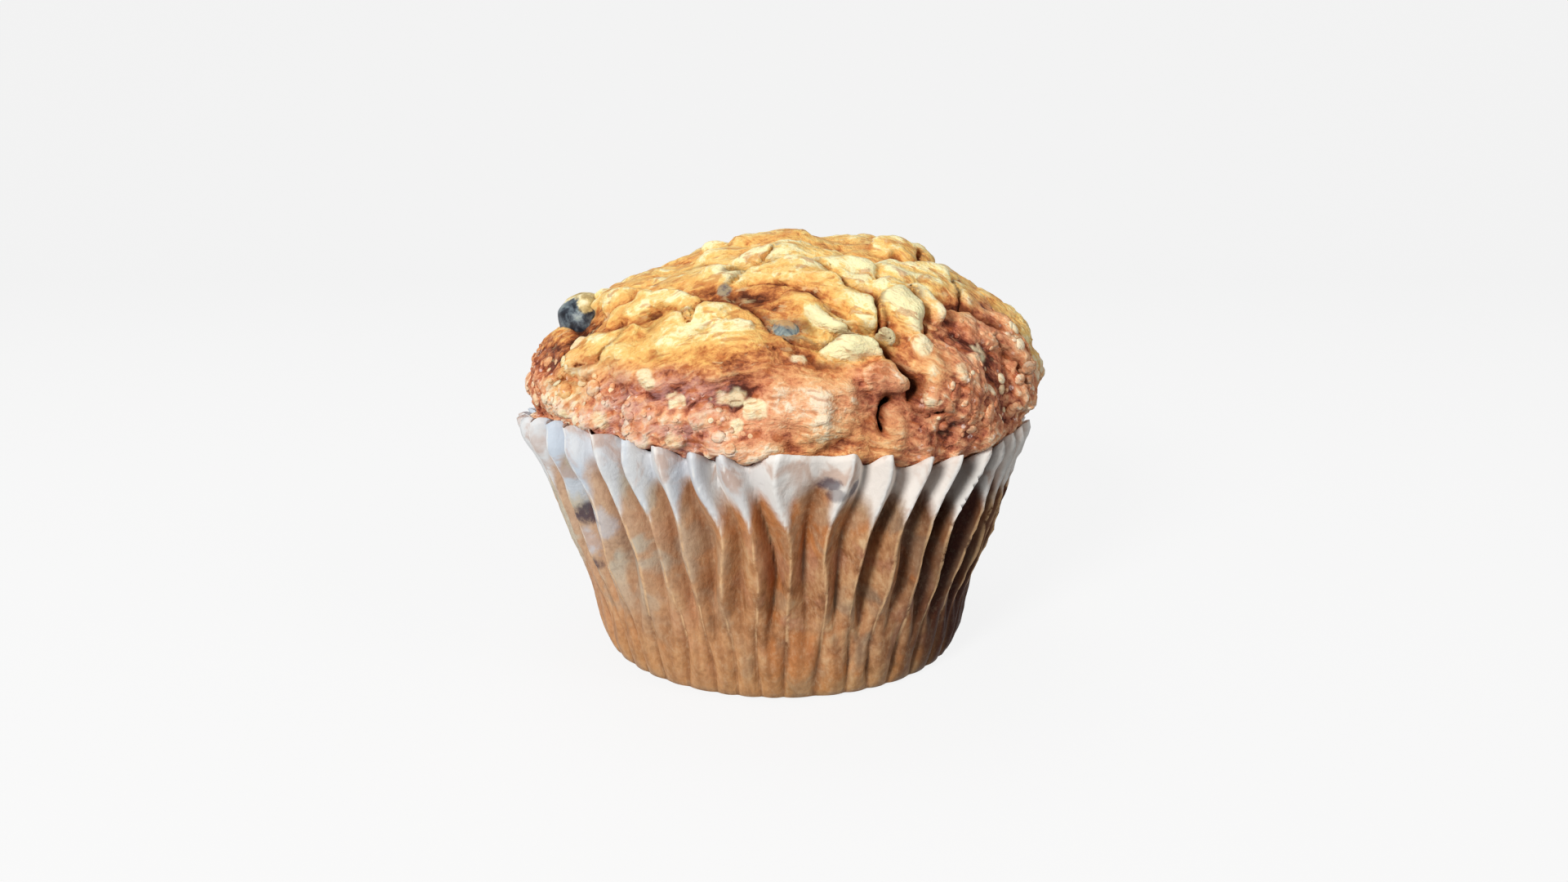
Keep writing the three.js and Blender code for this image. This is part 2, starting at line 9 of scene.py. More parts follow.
import bmesh
import bpy
import numpy as np
import openvdb as vdb
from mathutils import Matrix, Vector


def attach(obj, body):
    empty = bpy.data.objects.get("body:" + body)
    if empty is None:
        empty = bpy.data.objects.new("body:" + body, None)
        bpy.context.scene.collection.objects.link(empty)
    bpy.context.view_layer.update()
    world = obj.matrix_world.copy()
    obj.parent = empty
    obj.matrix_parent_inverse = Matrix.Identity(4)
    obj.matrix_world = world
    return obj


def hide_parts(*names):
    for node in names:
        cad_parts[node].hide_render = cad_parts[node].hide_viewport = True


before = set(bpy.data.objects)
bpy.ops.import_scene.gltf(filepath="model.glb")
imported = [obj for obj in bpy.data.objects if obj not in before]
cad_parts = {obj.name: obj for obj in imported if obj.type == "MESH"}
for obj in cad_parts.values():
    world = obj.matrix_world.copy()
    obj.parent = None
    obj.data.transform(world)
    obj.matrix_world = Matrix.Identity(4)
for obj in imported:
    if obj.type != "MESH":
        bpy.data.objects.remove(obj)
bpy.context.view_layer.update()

MM = 0.001
TAU = 2 * math.pi
UP = np.array([0.0, 0.0, 1.0])

# Paper case: radius at the base and at the rim, height, and how far the outer folds rise past that.
BASE_R = 26.9
RIM_R = 37.3
CASE_H = 35.4
RIM_LIFT = 0.9
# Pleats: how many, where the first one is, their depth at the foot and at the rim, and the height
# over which they grow out of the smooth foot.
PLEATS = 46
FIRST_PLEAT = math.radians(2.4)
DEPTH_BASE = 2.0
DEPTH_RIM = 3.2
BASE_SMOOTH = 4.0
# How far the wall rounds in towards the floor, and over what height.
FOOT_ROUND = 0.9
FOOT_HIGH = 1.3
# How far the rim drops on sharp inner folds, drops on round ones, and dips on their crests.
FOLD_DROP = 2.3
LOBE_DROP = 1.4
LOBE_DIP = 0.9
# Places where the rim stands higher or lower: turn, width, height.
RIM_SWELLS = [(-52, 24, 1.2), (-84, 20, -1.3), (42, 26, -1.5), (95, 22, -2.6), (-112, 20, -1.6)]
# Places where the rim is pressed out or in: turn, width, distance.
RIM_PRESSES = [(-82, 30, 0.9), (-112, 20, -0.9), (82, 42, -1.3)]
# Place where the rim is smoothed out, and how far and how widely the folds spread from it.
FLAT_AT = 6
FLAT_WIDE = 7
SPREAD = 0.36
SPREAD_WIDE = 29
# Side on which the outer folds are round instead of sharp, and side on which the pleats are deeper.
ROUND_AT = -62
ROUND_WIDE = 40
DEEP_AT = 62
DEEP_WIDE = 34
DEEPER = 0.35
# How far the wall bulges and then curls in under the rim, and where it does: turn, width, share.
RIM_BULGE = 0.6
RIM_CURL = 0.8
CURLED_SIDES = [(ROUND_AT, ROUND_WIDE, 1.0), (70, 40, 1.0), (180, 80, 0.6)]
# Sheet: thickness, columns to a pleat, rows, and the share of the rows that make the floor.
PAPER_T = 0.16
PAPER_COLUMNS = 12
PAPER_ROWS = 46
FLOOR_SHARE = 0.14

# Crown of the cake, a squared ellipsoid: half width, height of its middle, half heights above and
# below that, and the power that squares it.
CAP_R = 35.9
CAP_Z = 38.0
CAP_UP = 20.0
CAP_DOWN = 12.0
CAP_POWER = 2.25
# How much less squared the crown is round one side.
SLACK = 0.42
SLACK_AT = -95
SLACK_WIDE = 48
# Width of the creases between lumps, the power that squares a lump, and how steeply the crown
# spreads over the rim.
CREASE = 0.3
LUMP_POWER = 2.6
OVERHANG = 3.0
# Gap between cake and paper at the rim and deep in the case, and the heights between which one
# changes into the other.
CAKE_GAP = 0.8
HIDDEN_GAP = 1.2
PLAIN_TO = 30.5
PLEATED_FROM = 34.0
# Height up to which the paper hides the cake, and the share of its faces that the cake keeps there.
HIDDEN_TO = 32.0
HIDDEN_KEPT = 0.05
# Heights between which the crust's roughness sets in, and between which its grains do.
ROUGH_FROM = 33.5
ROUGH_TO = 36.5
GRAINS_FROM = 36.4
GRAINS_TO = 37.6
# Grid that the cake's shape is worked out on: two corners, pitch, and cells kept round the surface.
BLOCK_LOW = (-40, -40, -1)
BLOCK_HIGH = (40, 40, 62)
VOXEL = 0.4
BAND = 3
# How far away the crust's hollows are felt, and how much of the distance counts, for the shade
# painted into hollows and the light painted on ridges.
CAVITY_REACH = 1.1
CAVITY_DEEP = 1.6
# Mean height of the crust's small folds.
FOLDS_MEAN = 0.47
# Lumps of the back: how many, and the side on which they are low.
BACK_LUMPS = 26
BACK_LOW_AT = 240
BACK_LOW_WIDE = 32

# Lumps: turn, tilt, half width, half length, rise, twist, tone (-1 dark, 0 orange, 1 cream).
TOP_LUMPS = [
    (-18, 12, 7.0, 5.0, 2.7, 0, 0.25),
    (55, 17, 7.0, 5.5, 1.7, 0, 0.30),
    (-24, 29, 6.5, 6.0, 1.3, 0, 0.45),
    (64, 30, 5.0, 4.5, 1.2, 0, 0.20),
    (-96, 26, 1.9, 2.2, 1.6, 0, -0.05),
    (72, 42, 3.4, 3.8, 3.1, 0, 0.20),
    (84, 45, 3.6, 3.4, 3.0, 0, 0.15),
    (72, 54, 4.4, 4.0, 0.9, 0, -0.15),
]
ARCH_LUMPS = [
    (-9, 37, 5.5, 4.2, 1.8, 8, 0.45),
    (7, 37, 6.6, 4.6, 2.3, -5, 0.55),
    (22, 50, 3.4, 5.2, 2.8, 35, 0.75),
    (-4, 49.5, 6.2, 2.2, 1.6, 12, 0.40),
    (9, 51.5, 4.6, 2.6, 2.2, -28, 0.40),
    (15, 59.5, 2.3, 4.6, 2.3, 25, 0.35),
    (-3, 57, 3.2, 1.5, 0.8, -15, -0.35),
    (4, 61.5, 4.2, 1.7, 1.0, -15, -0.25),
    (10, 67.2, 3.8, 1.6, 1.9, -35, 0.85),
]
BLOCK_LUMPS = [
    (28.3, 66.8, 3.2, 3.4, 3.6, 25, 0.85),
    (31, 59.8, 2.3, 2.0, 2.2, 0, 0.70),
    (36.8, 65.5, 1.5, 3.6, 3.0, 12, 0.50),
    (19.0, 65.5, 2.3, 3.4, 2.4, 0, 0.15),
    (28.5, 71, 3.4, 1.4, 0.9, 0, 0.30),
    (15.2, 73.4, 4.5, 1.5, 2.6, 4, 1.00),
    (32, 78, 4.2, 5.0, 2.0, 15, -0.20),
    (20.4, 79.5, 2.9, 2.4, 1.6, 20, -0.25),
]
RIGHT_LUMPS = [
    (47, 55, 7.2, 6.0, 2.2, 0, 0.60),
    (60, 64, 6.5, 3.6, 1.7, -20, -0.10),
    (44, 70.5, 7.0, 3.0, 1.3, -15, -0.15),
    (62, 73, 5.5, 4.6, 1.7, -30, -0.20),
    (64, 83, 5.5, 5.5, 1.5, 0, -0.10),
    (36, 82, 6.5, 6.0, 1.6, 0, -0.35),
    (43, 90, 6.0, 4.5, 1.3, 0, -0.45),
    (25, 88.5, 4.6, 3.5, 0.1, 0, -0.20),
    (82, 72, 6.0, 6.5, 1.3, 0, 0.15),
    (86, 86, 6.5, 5.0, 1.4, 0, 0.05),
]
LEFT_LUMPS = [
    (-33, 54, 8.5, 3.8, 0.7, 12, 0.30),
    (-18, 50, 4.6, 4.4, 1.2, 0, 0.50),
    (-31.5, 62.3, 4.8, 1.9, 1.9, 0, 0.55),
    (-40, 66.8, 3.8, 1.9, 1.3, 20, 0.25),
    (-54, 54, 5.0, 4.0, 0.5, 10, 0.20),
    (-67, 61, 4.0, 3.2, 0.8, 0, 0.10),
    (-50, 63.5, 3.6, 2.2, 1.8, 25, 0.35),
    (-59, 64.5, 4.0, 1.9, 2.0, 10, 0.60),
    (-60, 75, 2.0, 1.6, 1.8, 0, -0.30),
    (-17, 69, 8.0, 4.4, 1.5, -5, 0.08),
    (-8, 74.5, 6.0, 4.0, 1.3, 0, 0.05),
    (-28, 76, 8.0, 4.4, 1.6, 0, 0.15),
    (-42, 77, 6.5, 4.2, 1.6, 0, 0.10),
    (-59, 83, 6.5, 5.0, 1.4, 0, -0.10),
    (-46, 86, 7.5, 4.0, 1.3, 0, 0.05),
    (-28.3, 85.6, 2.3, 1.8, 1.5, 0, -0.10),
    (-80, 82, 6.5, 5.0, 1.0, 0, -0.15),
    (-82, 66, 5.5, 5.0, 0.2, 0, -0.10),
]
FRONT_LUMPS = [
    (5, 84.5, 6.8, 5.0, 1.3, 0, 0.02),
    (-8, 89, 6.5, 3.8, 1.3, 0, -0.30),
    (-24, 89.5, 6.0, 3.6, 1.3, 0, -0.35),
]

# Pale crumb beads and one flake baked on to the crust, in the same columns.
BEADS = [
    (-20.1, 84.2, 1.15, 1.1, 0.5, 0, 1.0),
    (-4.7, 84.8, 1.5, 1.2, 0.5, 0, 1.0),
    (-8.4, 87.7, 0.8, 0.7, 0.4, 0, 1.1),
    (-20.2, 91, 1.2, 1.0, 0.5, 0, 0.6),
    (-50.1, 75.9, 1.4, 1.5, 0.6, 0, 0.9),
    (-37.9, 89, 1.2, 1.1, 0.5, 0, 0.7),
    (-47.5, 88.5, 0.9, 0.8, 0.4, 0, 0.9),
    (-26.3, 80.5, 0.9, 1.4, 0.4, 40, 0.8),
    (-8.7, 68.7, 1.5, 0.8, 0.4, 0, 0.8),
    (3.3, 75.8, 1.0, 1.0, 0.5, 0, 0.9),
    (7.3, 86, 0.7, 0.8, 0.3, 0, 0.1),
    (28.9, 74.8, 1.3, 1.5, 0.5, 0, 0.9),
    (46.8, 75.5, 1.3, 1.9, 0.5, 30, 0.9),
    (41.4, 78.4, 1.6, 1.0, 0.4, 10, 0.6),
    (35.5, 80.5, 1.0, 1.0, 0.4, 0, 0.6),
    (29.1, 84.2, 1.1, 0.8, 0.4, 0, 0.7),
    (-33, 84, 1.3, 0.9, 0.3, 20, 0.3),
    (-15, 87, 1.4, 1.0, 0.4, 20, 0.4),
    (-10.5, 82, 2.6, 1.25, 0.6, 6, 0.75),
    (-16.5, 57.6, 1.0, 0.8, 0.4, 0, 0.0),
]
BACK_BEADS = 9

# Hollow round the middle berry: turn, tilt, radius, depth.
HOLLOW = (-0.6, 67.2, 3.0, 1.7)

# Cracks and valleys: points along each, half width, depth.
CRACKS = [
    ([(-16.5, 58.5), (-9, 61.5), (-4.5, 65.5), (-2.5, 69), (1.7, 71.4), (8, 72.4), (12, 71.4),
      (18, 71.5)], 0.6, 1.7),
    ([(18, 71.5), (21.6, 74.7), (23.8, 78), (26.6, 80.6), (25.5, 83.5)], 0.8, 3.0),
    ([(20.6, 83.2), (19.6, 84.5), (19.2, 86.5), (19.8, 89.5)], 0.5, 5.0),
    ([(21.5, 83.6), (20.2, 83.9)], 0.6, 4.0),
    ([(-18, 51.2), (-12.9, 47.7), (-7.4, 44.4), (1, 43.6), (8.3, 46.2), (14.1, 49.1), (16.6, 53.2),
      (17.9, 59.4)], 0.3, 1.3),
    ([(-15.8, 57.3), (-13.9, 52.5), (-10.7, 44.8), (-4.4, 40.4), (-3, 33)], 0.25, 0.7),
    ([(10.9, 63.6), (11.7, 66.8), (15.3, 69.5), (19.4, 71.1)], 0.28, 0.7),
    ([(23.9, 63), (22, 66.4), (21.8, 69), (20.8, 71)], 0.35, 1.3),
    ([(34.2, 62.3), (33.7, 66.4), (32.6, 71.2)], 0.4, 1.4),
    ([(-41.3, 63.3), (-39.3, 60.9), (-35.5, 59.5), (-28.1, 59.5), (-20, 58)], 0.25, 0.7),
    ([(-34.6, 69.6), (-33.6, 66.3), (-30.7, 64.5), (-26.9, 64.6), (-23.3, 66.7), (-21.7, 67.9)],
     0.25, 0.6),
    ([(-21.7, 67.9), (-21.1, 64.8), (-20.1, 62.3), (-16.7, 60.9)], 0.25, 0.5),
    ([(76.9, 51.5), (57, 60), (50.8, 66.4), (56.2, 71.5), (60.8, 76)], 0.4, 1.5),
    ([(53.3, 74.5), (58.6, 80.7), (61.5, 86.5)], 0.3, 0.9),
    ([(-46, 80.1), (-39.2, 78), (-38.9, 76.5), (-37, 74.6), (-36.1, 70.9)], 0.25, 0.7),
    ([(-51.5, 84.7), (-49, 82.8), (-41.3, 82.2), (-40.5, 81.1)], 0.2, 0.5),
    ([(-2.8, 72.8), (2.1, 74.4), (8.4, 76)], 0.2, 0.2),
    ([(62, 44), (60, 48)], 0.4, 1.4),
    ([(77, 47), (72, 48.5)], 0.4, 1.4),
    ([(26, 85.5), (29, 87), (31.5, 86.5)], 0.3, 0.7),
]

# Height over the cap from which the cracks are cut.
CRACK_TOP = 1.5

# Berries: name, turn, tilt, radius, how far each stands out of the cap, how much batter covers it
# (below 0, a thin film).
BERRIES = [
    ("berry_left", -65.5, 69.0, 3.5, 3.4, 0.75),
    ("berry_middle", 0.7, 67.6, 2.4, 0.0, -1.0),
    ("berry_back", 168, 50, 3.8, 2.4, 0.3),
]

# How strongly the crust's strokes arch over the crown, per millimetre.
ARCH_BEND = 0.012

# Grains of dough baked into the crust.
GRAINS_PER_MM2 = 0.4
GRAIN_R = 0.6

# Zones of the crust: turn, tilt, half width, half height, change of tone, change of blush.
ZONES = [
    (-18, 71.5, 8.0, 4.0, 0.85, -0.8),
    (28.5, 68.5, 3.0, 2.5, 0.85, -0.5),
    (-35, 45, 12.0, 8.0, 0.20, -0.3),
    (-30, 66, 7.0, 3.0, 0.20, -0.4),
    (-5, 75.5, 7.0, 3.2, -1.10, 0.35),
    (-24, 79.5, 8.0, 1.8, -0.45, 0.2),
    (-2, 79.5, 7.0, 2.0, -0.25, 0.0),
    (6, 83, 7.5, 5.0, 0.58, 0.60),
    (15.2, 73.4, 4.0, 1.6, 0.80, -0.5),
    (-22, 61, 6.0, 3.0, -0.65, 0.0),
    (10, 66, 3.5, 2.5, 0.30, -0.3),
    (-72, 74, 6.0, 6.0, -0.25, 0.1),
    (-38, 69, 9.0, 4.0, -0.30, 0.0),
    (-46, 84.5, 5.0, 2.8, 0.35, -0.9),
    (-62, 74, 6.0, 5.0, -0.25, 0.1),
    (-78, 78, 8.0, 7.0, -0.25, 0.0),
    (-58, 81, 5.0, 4.5, -0.65, 0.0),
    (-50, 73, 5.0, 2.5, 0.20, -0.2),
    (19, 80, 3.0, 2.6, -0.50, 0.9),
    (40, 82, 9.0, 6.0, -0.20, 0.15),
    (50, 76, 9.0, 5.0, -0.04, 0.2),
    (62, 84, 7.0, 4.0, -0.15, 0.0),
    (80, 76, 6.0, 10.0, 0.30, -1.0),
    (74, 60, 6.0, 5.0, -0.30, -0.1),
    (-3, 59, 7.0, 4.0, -0.32, 0.1),
    (24, 70, 3.0, 1.8, -0.60, 0.0),
    (52, 66, 9.0, 3.0, -0.20, 0.1),
    (46, 52, 7.0, 5.0, 0.40, 0.0),
    (66, 47, 7.0, 3.0, -0.35, 0.0),
    (-44, 62, 5.0, 2.4, -0.25, 0.0),
]

# Berry juice in the crust: turn, tilt, radius, strength.
JUICE = [
    (-16.5, 57.6, 1.0, 1.0),
    (0.7, 67.6, 2.9, 0.6),
    (-1.2, 64.8, 2.4, 0.45),
    (-65.5, 69.0, 4.4, 0.5),
    (168, 50, 5.0, 0.8),
    (29, 79.5, 1.6, 0.25),
    (120, 74, 3.0, 0.5),
    (-135, 66, 2.6, 0.5),
]

# Berry juice under the paper: turn, height, half width, half height, strength.
PAPER_JUICE = [
    (-50, 24.2, 2.6, 1.5, 0.95),
    (-55, 16.8, 1.5, 1.2, 0.9),
    (-39, 20.0, 1.7, 2.2, 0.55),
    (9.0, 32.0, 1.5, 1.0, 0.85),
    (10.5, 30.9, 1.3, 0.9, 0.6),
    (15.0, 31.0, 1.0, 1.5, 0.85),
    (118, 22, 2.6, 2.0, 0.7),
    (-140, 27, 2.2, 1.6, 0.7),
]
# Patches of paper that stayed dry, in the same columns.
PAPER_DRY = [
    (-50, 28.5, 2.6, 2.8, 0.85),
    (-44, 24.0, 2.0, 2.4, 0.55),
    (-54, 20.0, 2.0, 2.0, 0.6),
]

# Camera: place in metres, tilt up from straight down, lens, sensor, shift as a share of the frame.
CAMERA_AT = (0.0, -0.156, 0.0654)
CAMERA_TILT = 77.0
LENS = 24.45
SENSOR = 36.0
SHIFT = 3.0 / 1920
# Lights: name, place and width in metres, watts, colour. They face LIT_AT.
LIT_AT = (0.0, 0.0, 0.04)
LIGHTS = [
    ("key_light", (-0.34, -0.62, 0.32), 0.2, 5.0, (1.0, 0.99, 0.97)),
    ("side_light", (0.55, -0.35, 0.42), 0.3, 0.9, (1.0, 0.99, 0.97)),
    ("top_light", (-0.10, 0.15, 0.70), 0.35, 0.7, (1.0, 1.0, 1.0)),
]
AIR_BRIGHT = 0.23
# Floor, in metres: half width, radius of its bend, how far back and how high its wall stands.
FLOOR_HALF = 2.2
FLOOR_BEND = 0.6
FLOOR_BACK = 1.3
FLOOR_TOP = 2.4
FLOOR_STEPS = 16
FLOOR_BRIGHT = 0.86


def linear(red, green, blue):
    """Colour given as it shows on a screen, 0 to 255, as the shaders take it."""
    shown = [part / 255 for part in (red, green, blue)]
    parts = [p / 12.92 if p <= 0.04045 else ((p + 0.055) / 1.055) ** 2.4 for p in shown]
    return (*parts, 1.0)


class Graph:
    """A node tree that is written as expressions."""

    def __init__(self, tree):
        self.tree = tree

    def add(self, kind, settings=None, inputs=None):
        """Adds a node: its settings first, then values or links for its sockets."""
        node = self.tree.nodes.new(kind)
        for name, value in (settings or {}).items():
            if name == "stops":
                self.set_stops(node.color_ramp, value)
            else:
                setattr(node, name, value)
        for key, value in (inputs or {}).items():
            if isinstance(value, Wire):
                self.tree.links.new(value.socket, node.inputs[key])
            else:
                node.inputs[key].default_value = value
        return node

    def wire(self, kind, settings=None, inputs=None, output=0):
        return Wire(self, self.add(kind, settings, inputs).outputs[output])

    def set_stops(self, ramp, stops):
        while len(ramp.elements) < len(stops):
            ramp.elements.new(1.0)
        for element, (place, colour) in zip(ramp.elements, stops):
            element.position = place
            element.color = linear(*colour)

    def ramp(self, value, stops):
        return self.wire("ShaderNodeValToRGB", {"stops": stops}, {0: value})

    def blend(self, factor, first, second):
        """Mixes two colours, each a wire or a colour as a screen shows it."""
        settings = {"data_type": "RGBA", "blend_type": "MIX", "clamp_factor": True}
        inputs = {0: factor}
        for key, tint in ((6, first), (7, second)):
            inputs[key] = tint if isinstance(tint, Wire) else linear(*tint)
        return self.wire("ShaderNodeMix", settings, inputs, 2)

    def layered(self, colour, layers):
        """Lays colours over a first one, each with its own share."""
        for share, tint in layers:
            colour = self.blend(share, colour, tint)
        return colour

    def vector(self, operation, *parts, output=0):
        settings = {"operation": operation}
        return self.wire("ShaderNodeVectorMath", settings, dict(enumerate(parts)), output)

    def parts(self, vector):
        """X, Y and Z of a vector."""
        split = self.add("ShaderNodeSeparateXYZ", None, {0: vector})
        return [Wire(self, socket) for socket in split.outputs]

    def joined(self, x, y, z):
        return self.wire("ShaderNodeCombineXYZ", None, {"X": x, "Y": y, "Z": z})

    def noise(self, place, scale, detail=3.0, rough=0.55, stretch=(1, 1, 1), warp=0.0):
        return self.wire("ShaderNodeTexNoise", None, {
            "Vector": self.vector("MULTIPLY", place, stretch),
            "Scale": scale, "Detail": detail, "Roughness": rough, "Distortion": warp})

    def cells(self, place, scale):
        """Small round spots, some larger than others."""
        inputs = {"Vector": place, "Scale": scale, "Randomness": 1.0}
        cell = self.add("ShaderNodeTexVoronoi", {"feature": "F1"}, inputs)
        tint = self.parts(Wire(self, cell.outputs["Color"]))[0]
        return self.step(tint * 0.5 - 0.12 - Wire(self, cell.outputs["Distance"]), -0.05, 0.08)

    def step(self, value, low, high):
        """0 below low, 1 above high, smooth between."""
        settings = {"interpolation_type": "SMOOTHSTEP", "clamp": True}
        inputs = {"Value": value, "From Min": low, "From Max": high, "To Min": 0.0, "To Max": 1.0}
        if low > high:
            inputs.update({"From Min": high, "From Max": low, "To Min": 1.0, "To Max": 0.0})
        return self.wire("ShaderNodeMapRange", settings, inputs)

    def attributes(self, *names):
        return [self.wire("ShaderNodeAttribute", {"attribute_name": name}, None, "Fac")
                for name in names]


class Wire:
    """One node socket that takes part in sums and products."""

    def __init__(self, graph, socket):
        self.graph = graph
        self.socket = socket

    def math(self, operation, *others):
        parts = dict(enumerate((self,) + others))
        return self.graph.wire("ShaderNodeMath", {"operation": operation}, parts)

    def reflected(self, operation, other):
        return self.graph.wire("ShaderNodeMath", {"operation": operation}, {0: other, 1: self})

    def __add__(self, other):
        return self.math("ADD", other)

    def __sub__(self, other):
        return self.math("SUBTRACT", other)

    def __mul__(self, other):
        return self.math("MULTIPLY", other)

    def __truediv__(self, other):
        return self.math("DIVIDE", other)

    def __pow__(self, other):
        return self.math("POWER", other)

    def __rsub__(self, other):
        return self.reflected("SUBTRACT", other)

    def __rtruediv__(self, other):
        return self.reflected("DIVIDE", other)

    __radd__ = __add__
    __rmul__ = __mul__


def both_ways(operation, plain):
    """Function for arrays and node sockets alike, so that the pleat rule is written only once."""
    def worked(x, *others):
        return x.math(operation, *others) if isinstance(x, Wire) else plain(x, *others)
    return worked


sine = both_ways("SINE", np.sin)
exponent = both_ways("EXPONENT", np.exp)
nearest = both_ways("ROUND", np.round)
size_of = both_ways("ABSOLUTE", np.abs)
at_least = both_ways("MAXIMUM", np.maximum)
at_most = both_ways("MINIMUM", np.minimum)


def mix(a, b, share):
    return a + (b - a) * share


def smooth(x, low, high):
    """0 below low, 1 above high, smooth between, for arrays and sockets."""
    t = at_most(at_least((x - low) * (1.0 / (high - low)), 0.0), 1.0)
    return t * t * (t * -2.0 + 3.0)


def swell(theta, at, wide):
    """1 at one angle round the axis, falling to 0 on both sides of it."""
    facing = sine(theta + (math.pi / 2 - math.radians(at)))
    return exponent((facing - 1.0) * (2.0 / math.radians(wide) ** 2))


def folding(theta, z):
    """0 on an outer fold of the paper, 1 on an inner fold."""
    rise = z * (1.0 / CASE_H)
    spread = sine(theta - math.radians(FLAT_AT)) * swell(theta, FLAT_AT, SPREAD_WIDE)
    wander = (sine(theta * 5.0 + 0.7) * 0.016
              + sine(theta * 9.0 + rise * 1.5 + 2.0) * 0.011
              + sine(theta * 17.0 + rise * 3.0) * 0.006
              + sine(theta * 11.0 + rise * 8.0 + 1.0) * 0.013
              + sine(theta * 23.0 - rise * 13.0) * 0.007
              - spread * smooth(rise, 0.66, 0.98) * SPREAD)
    turn = (theta + wander - FIRST_PLEAT) * (PLEATS / TAU)
    return size_of((turn - nearest(turn)) * 2.0)


def rim_height(theta, folded):
    """The rim is lower on the inner folds; round folds also dip a little at their crests."""
    sharp = smooth(folded, 0.0, 1.0) * FOLD_DROP
    lobed = smooth(folded, 0.5, 1.0) * LOBE_DROP + (1.0 - folded) ** 2.5 * LOBE_DIP
    sunk = mix(sharp, lobed, swell(theta, ROUND_AT, ROUND_WIDE))
    sunk = sunk * (1.0 - swell(theta, FLAT_AT, FLAT_WIDE) * 0.8)
    height = sine(theta * 2.0 + 2.4) * 0.35 + sine(theta * 7.0) * 0.25 - sunk
    for at, wide, rise in RIM_SWELLS:
        height = height + swell(theta, at, wide) * rise
    return height + (CASE_H + RIM_LIFT)


def paper_radius(theta, folded, z):
    """Wide bulges over narrow creases near the foot turn into sharp pleats near the rim."""
    rise = z * (1.0 / CASE_H)
    press = sum(swell(theta, at, wide) * out for at, wide, out in RIM_PRESSES)
    foot = exponent(z * (-1.0 / FOOT_HIGH)) * FOOT_ROUND
    outer = mix(BASE_R, RIM_R, rise ** 1.06) + press * rise ** 4 - foot
    bulge = (rise - 0.93) * 13.0
    curled = sum(swell(theta, at, wide) * share for at, wide, share in CURLED_SIDES)
    rolled = exponent(bulge * bulge * -1.0) * RIM_BULGE - smooth(rise, 0.95, 1.05) * RIM_CURL
    outer = outer + rolled * curled
    uneven = sine(theta * 19.0 + 1.0) * 0.18 + sine(theta * 31.0 + 2.2) * 0.14 + 1.0
    creased = (1.0 - exponent(z * (-1.0 / BASE_SMOOTH))) * DEPTH_BASE * (1.0 - folded) ** 2.5
    round_out = swell(theta, ROUND_AT, ROUND_WIDE) * 0.8 + 1.1
    flat = 1.0 - swell(theta, FLAT_AT, FLAT_WIDE) * smooth(rise, 0.7, 1.0) * 0.6
    deepened = uneven + swell(theta, DEEP_AT, DEEP_WIDE) * DEEPER
    pleated = folded ** round_out * deepened * flat * DEPTH_RIM
    return outer - mix(creased, pleated, smooth(rise, 0.08, 0.55))


def smooth_min(a, b, k):
    near = np.maximum(k - np.abs(a - b), 0) / k
    return np.minimum(a, b) - near * near * k * 0.25


def smooth_max(a, b, k):
    return -smooth_min(-a, -b, k)


def cap_power(theta):
    return CAP_POWER - SLACK * swell(theta, SLACK_AT, SLACK_WIDE)


def cap_point(turn, tilt):
    """Point of the bare cap and the direction that it faces."""
    a = math.radians(turn)
    s = math.sin(math.radians(tilt))
    c = math.cos(math.radians(tilt))
    power = cap_power(a)
    q = ((s / CAP_R) ** power + (abs(c) / CAP_UP) ** power) ** (1 / power)
    r = s / q
    h = c / q
    out = (r / CAP_R) ** (power - 1) / CAP_R
    up = math.copysign((abs(h) / CAP_UP) ** (power - 1) / CAP_UP, h)
    point = np.array([r * math.sin(a), -r * math.cos(a), CAP_Z + h])
    normal = np.array([out * math.sin(a), -out * math.cos(a), up])
    return point, normal / np.linalg.norm(normal)


def back_lumps():
    lumps = []
    for k in range(BACK_LUMPS):
        turn = 100 + 160 * ((k * 0.6180339) % 1)
        tilt = 22 + 66 * ((k + 0.5) / BACK_LUMPS) ** 0.8
        wide = 6.5 + 2.6 * math.sin(2.1 * k + 0.4)
        long = 5.0 + 1.6 * math.sin(3.7 * k + 1.1)
        low = 0.7 * math.exp(-((turn - BACK_LOW_AT) / BACK_LOW_WIDE) ** 2)
        rise = (2.2 + 0.9 * math.sin(5.3 * k) - 0.8 * (tilt / 88)) * (1 - low)
        tone = 0.45 - 0.7 * (tilt / 90) ** 2 + 0.35 * math.sin(6.1 * k)
        lumps.append((turn, tilt, wide, long, rise, 40 * math.sin(4.1 * k), tone))
    return lumps


def back_beads():
    beads = []
    for k in range(BACK_BEADS):
        turn = 105 + 150 * ((k * 0.754877) % 1)
        tilt = 58 + 28 * ((k * 0.569840) % 1)
        size = 1.3 + 0.2 * math.sin(3 * k)
        beads.append((turn, tilt, size, size, 0.5, 0, 0.85))
    return beads


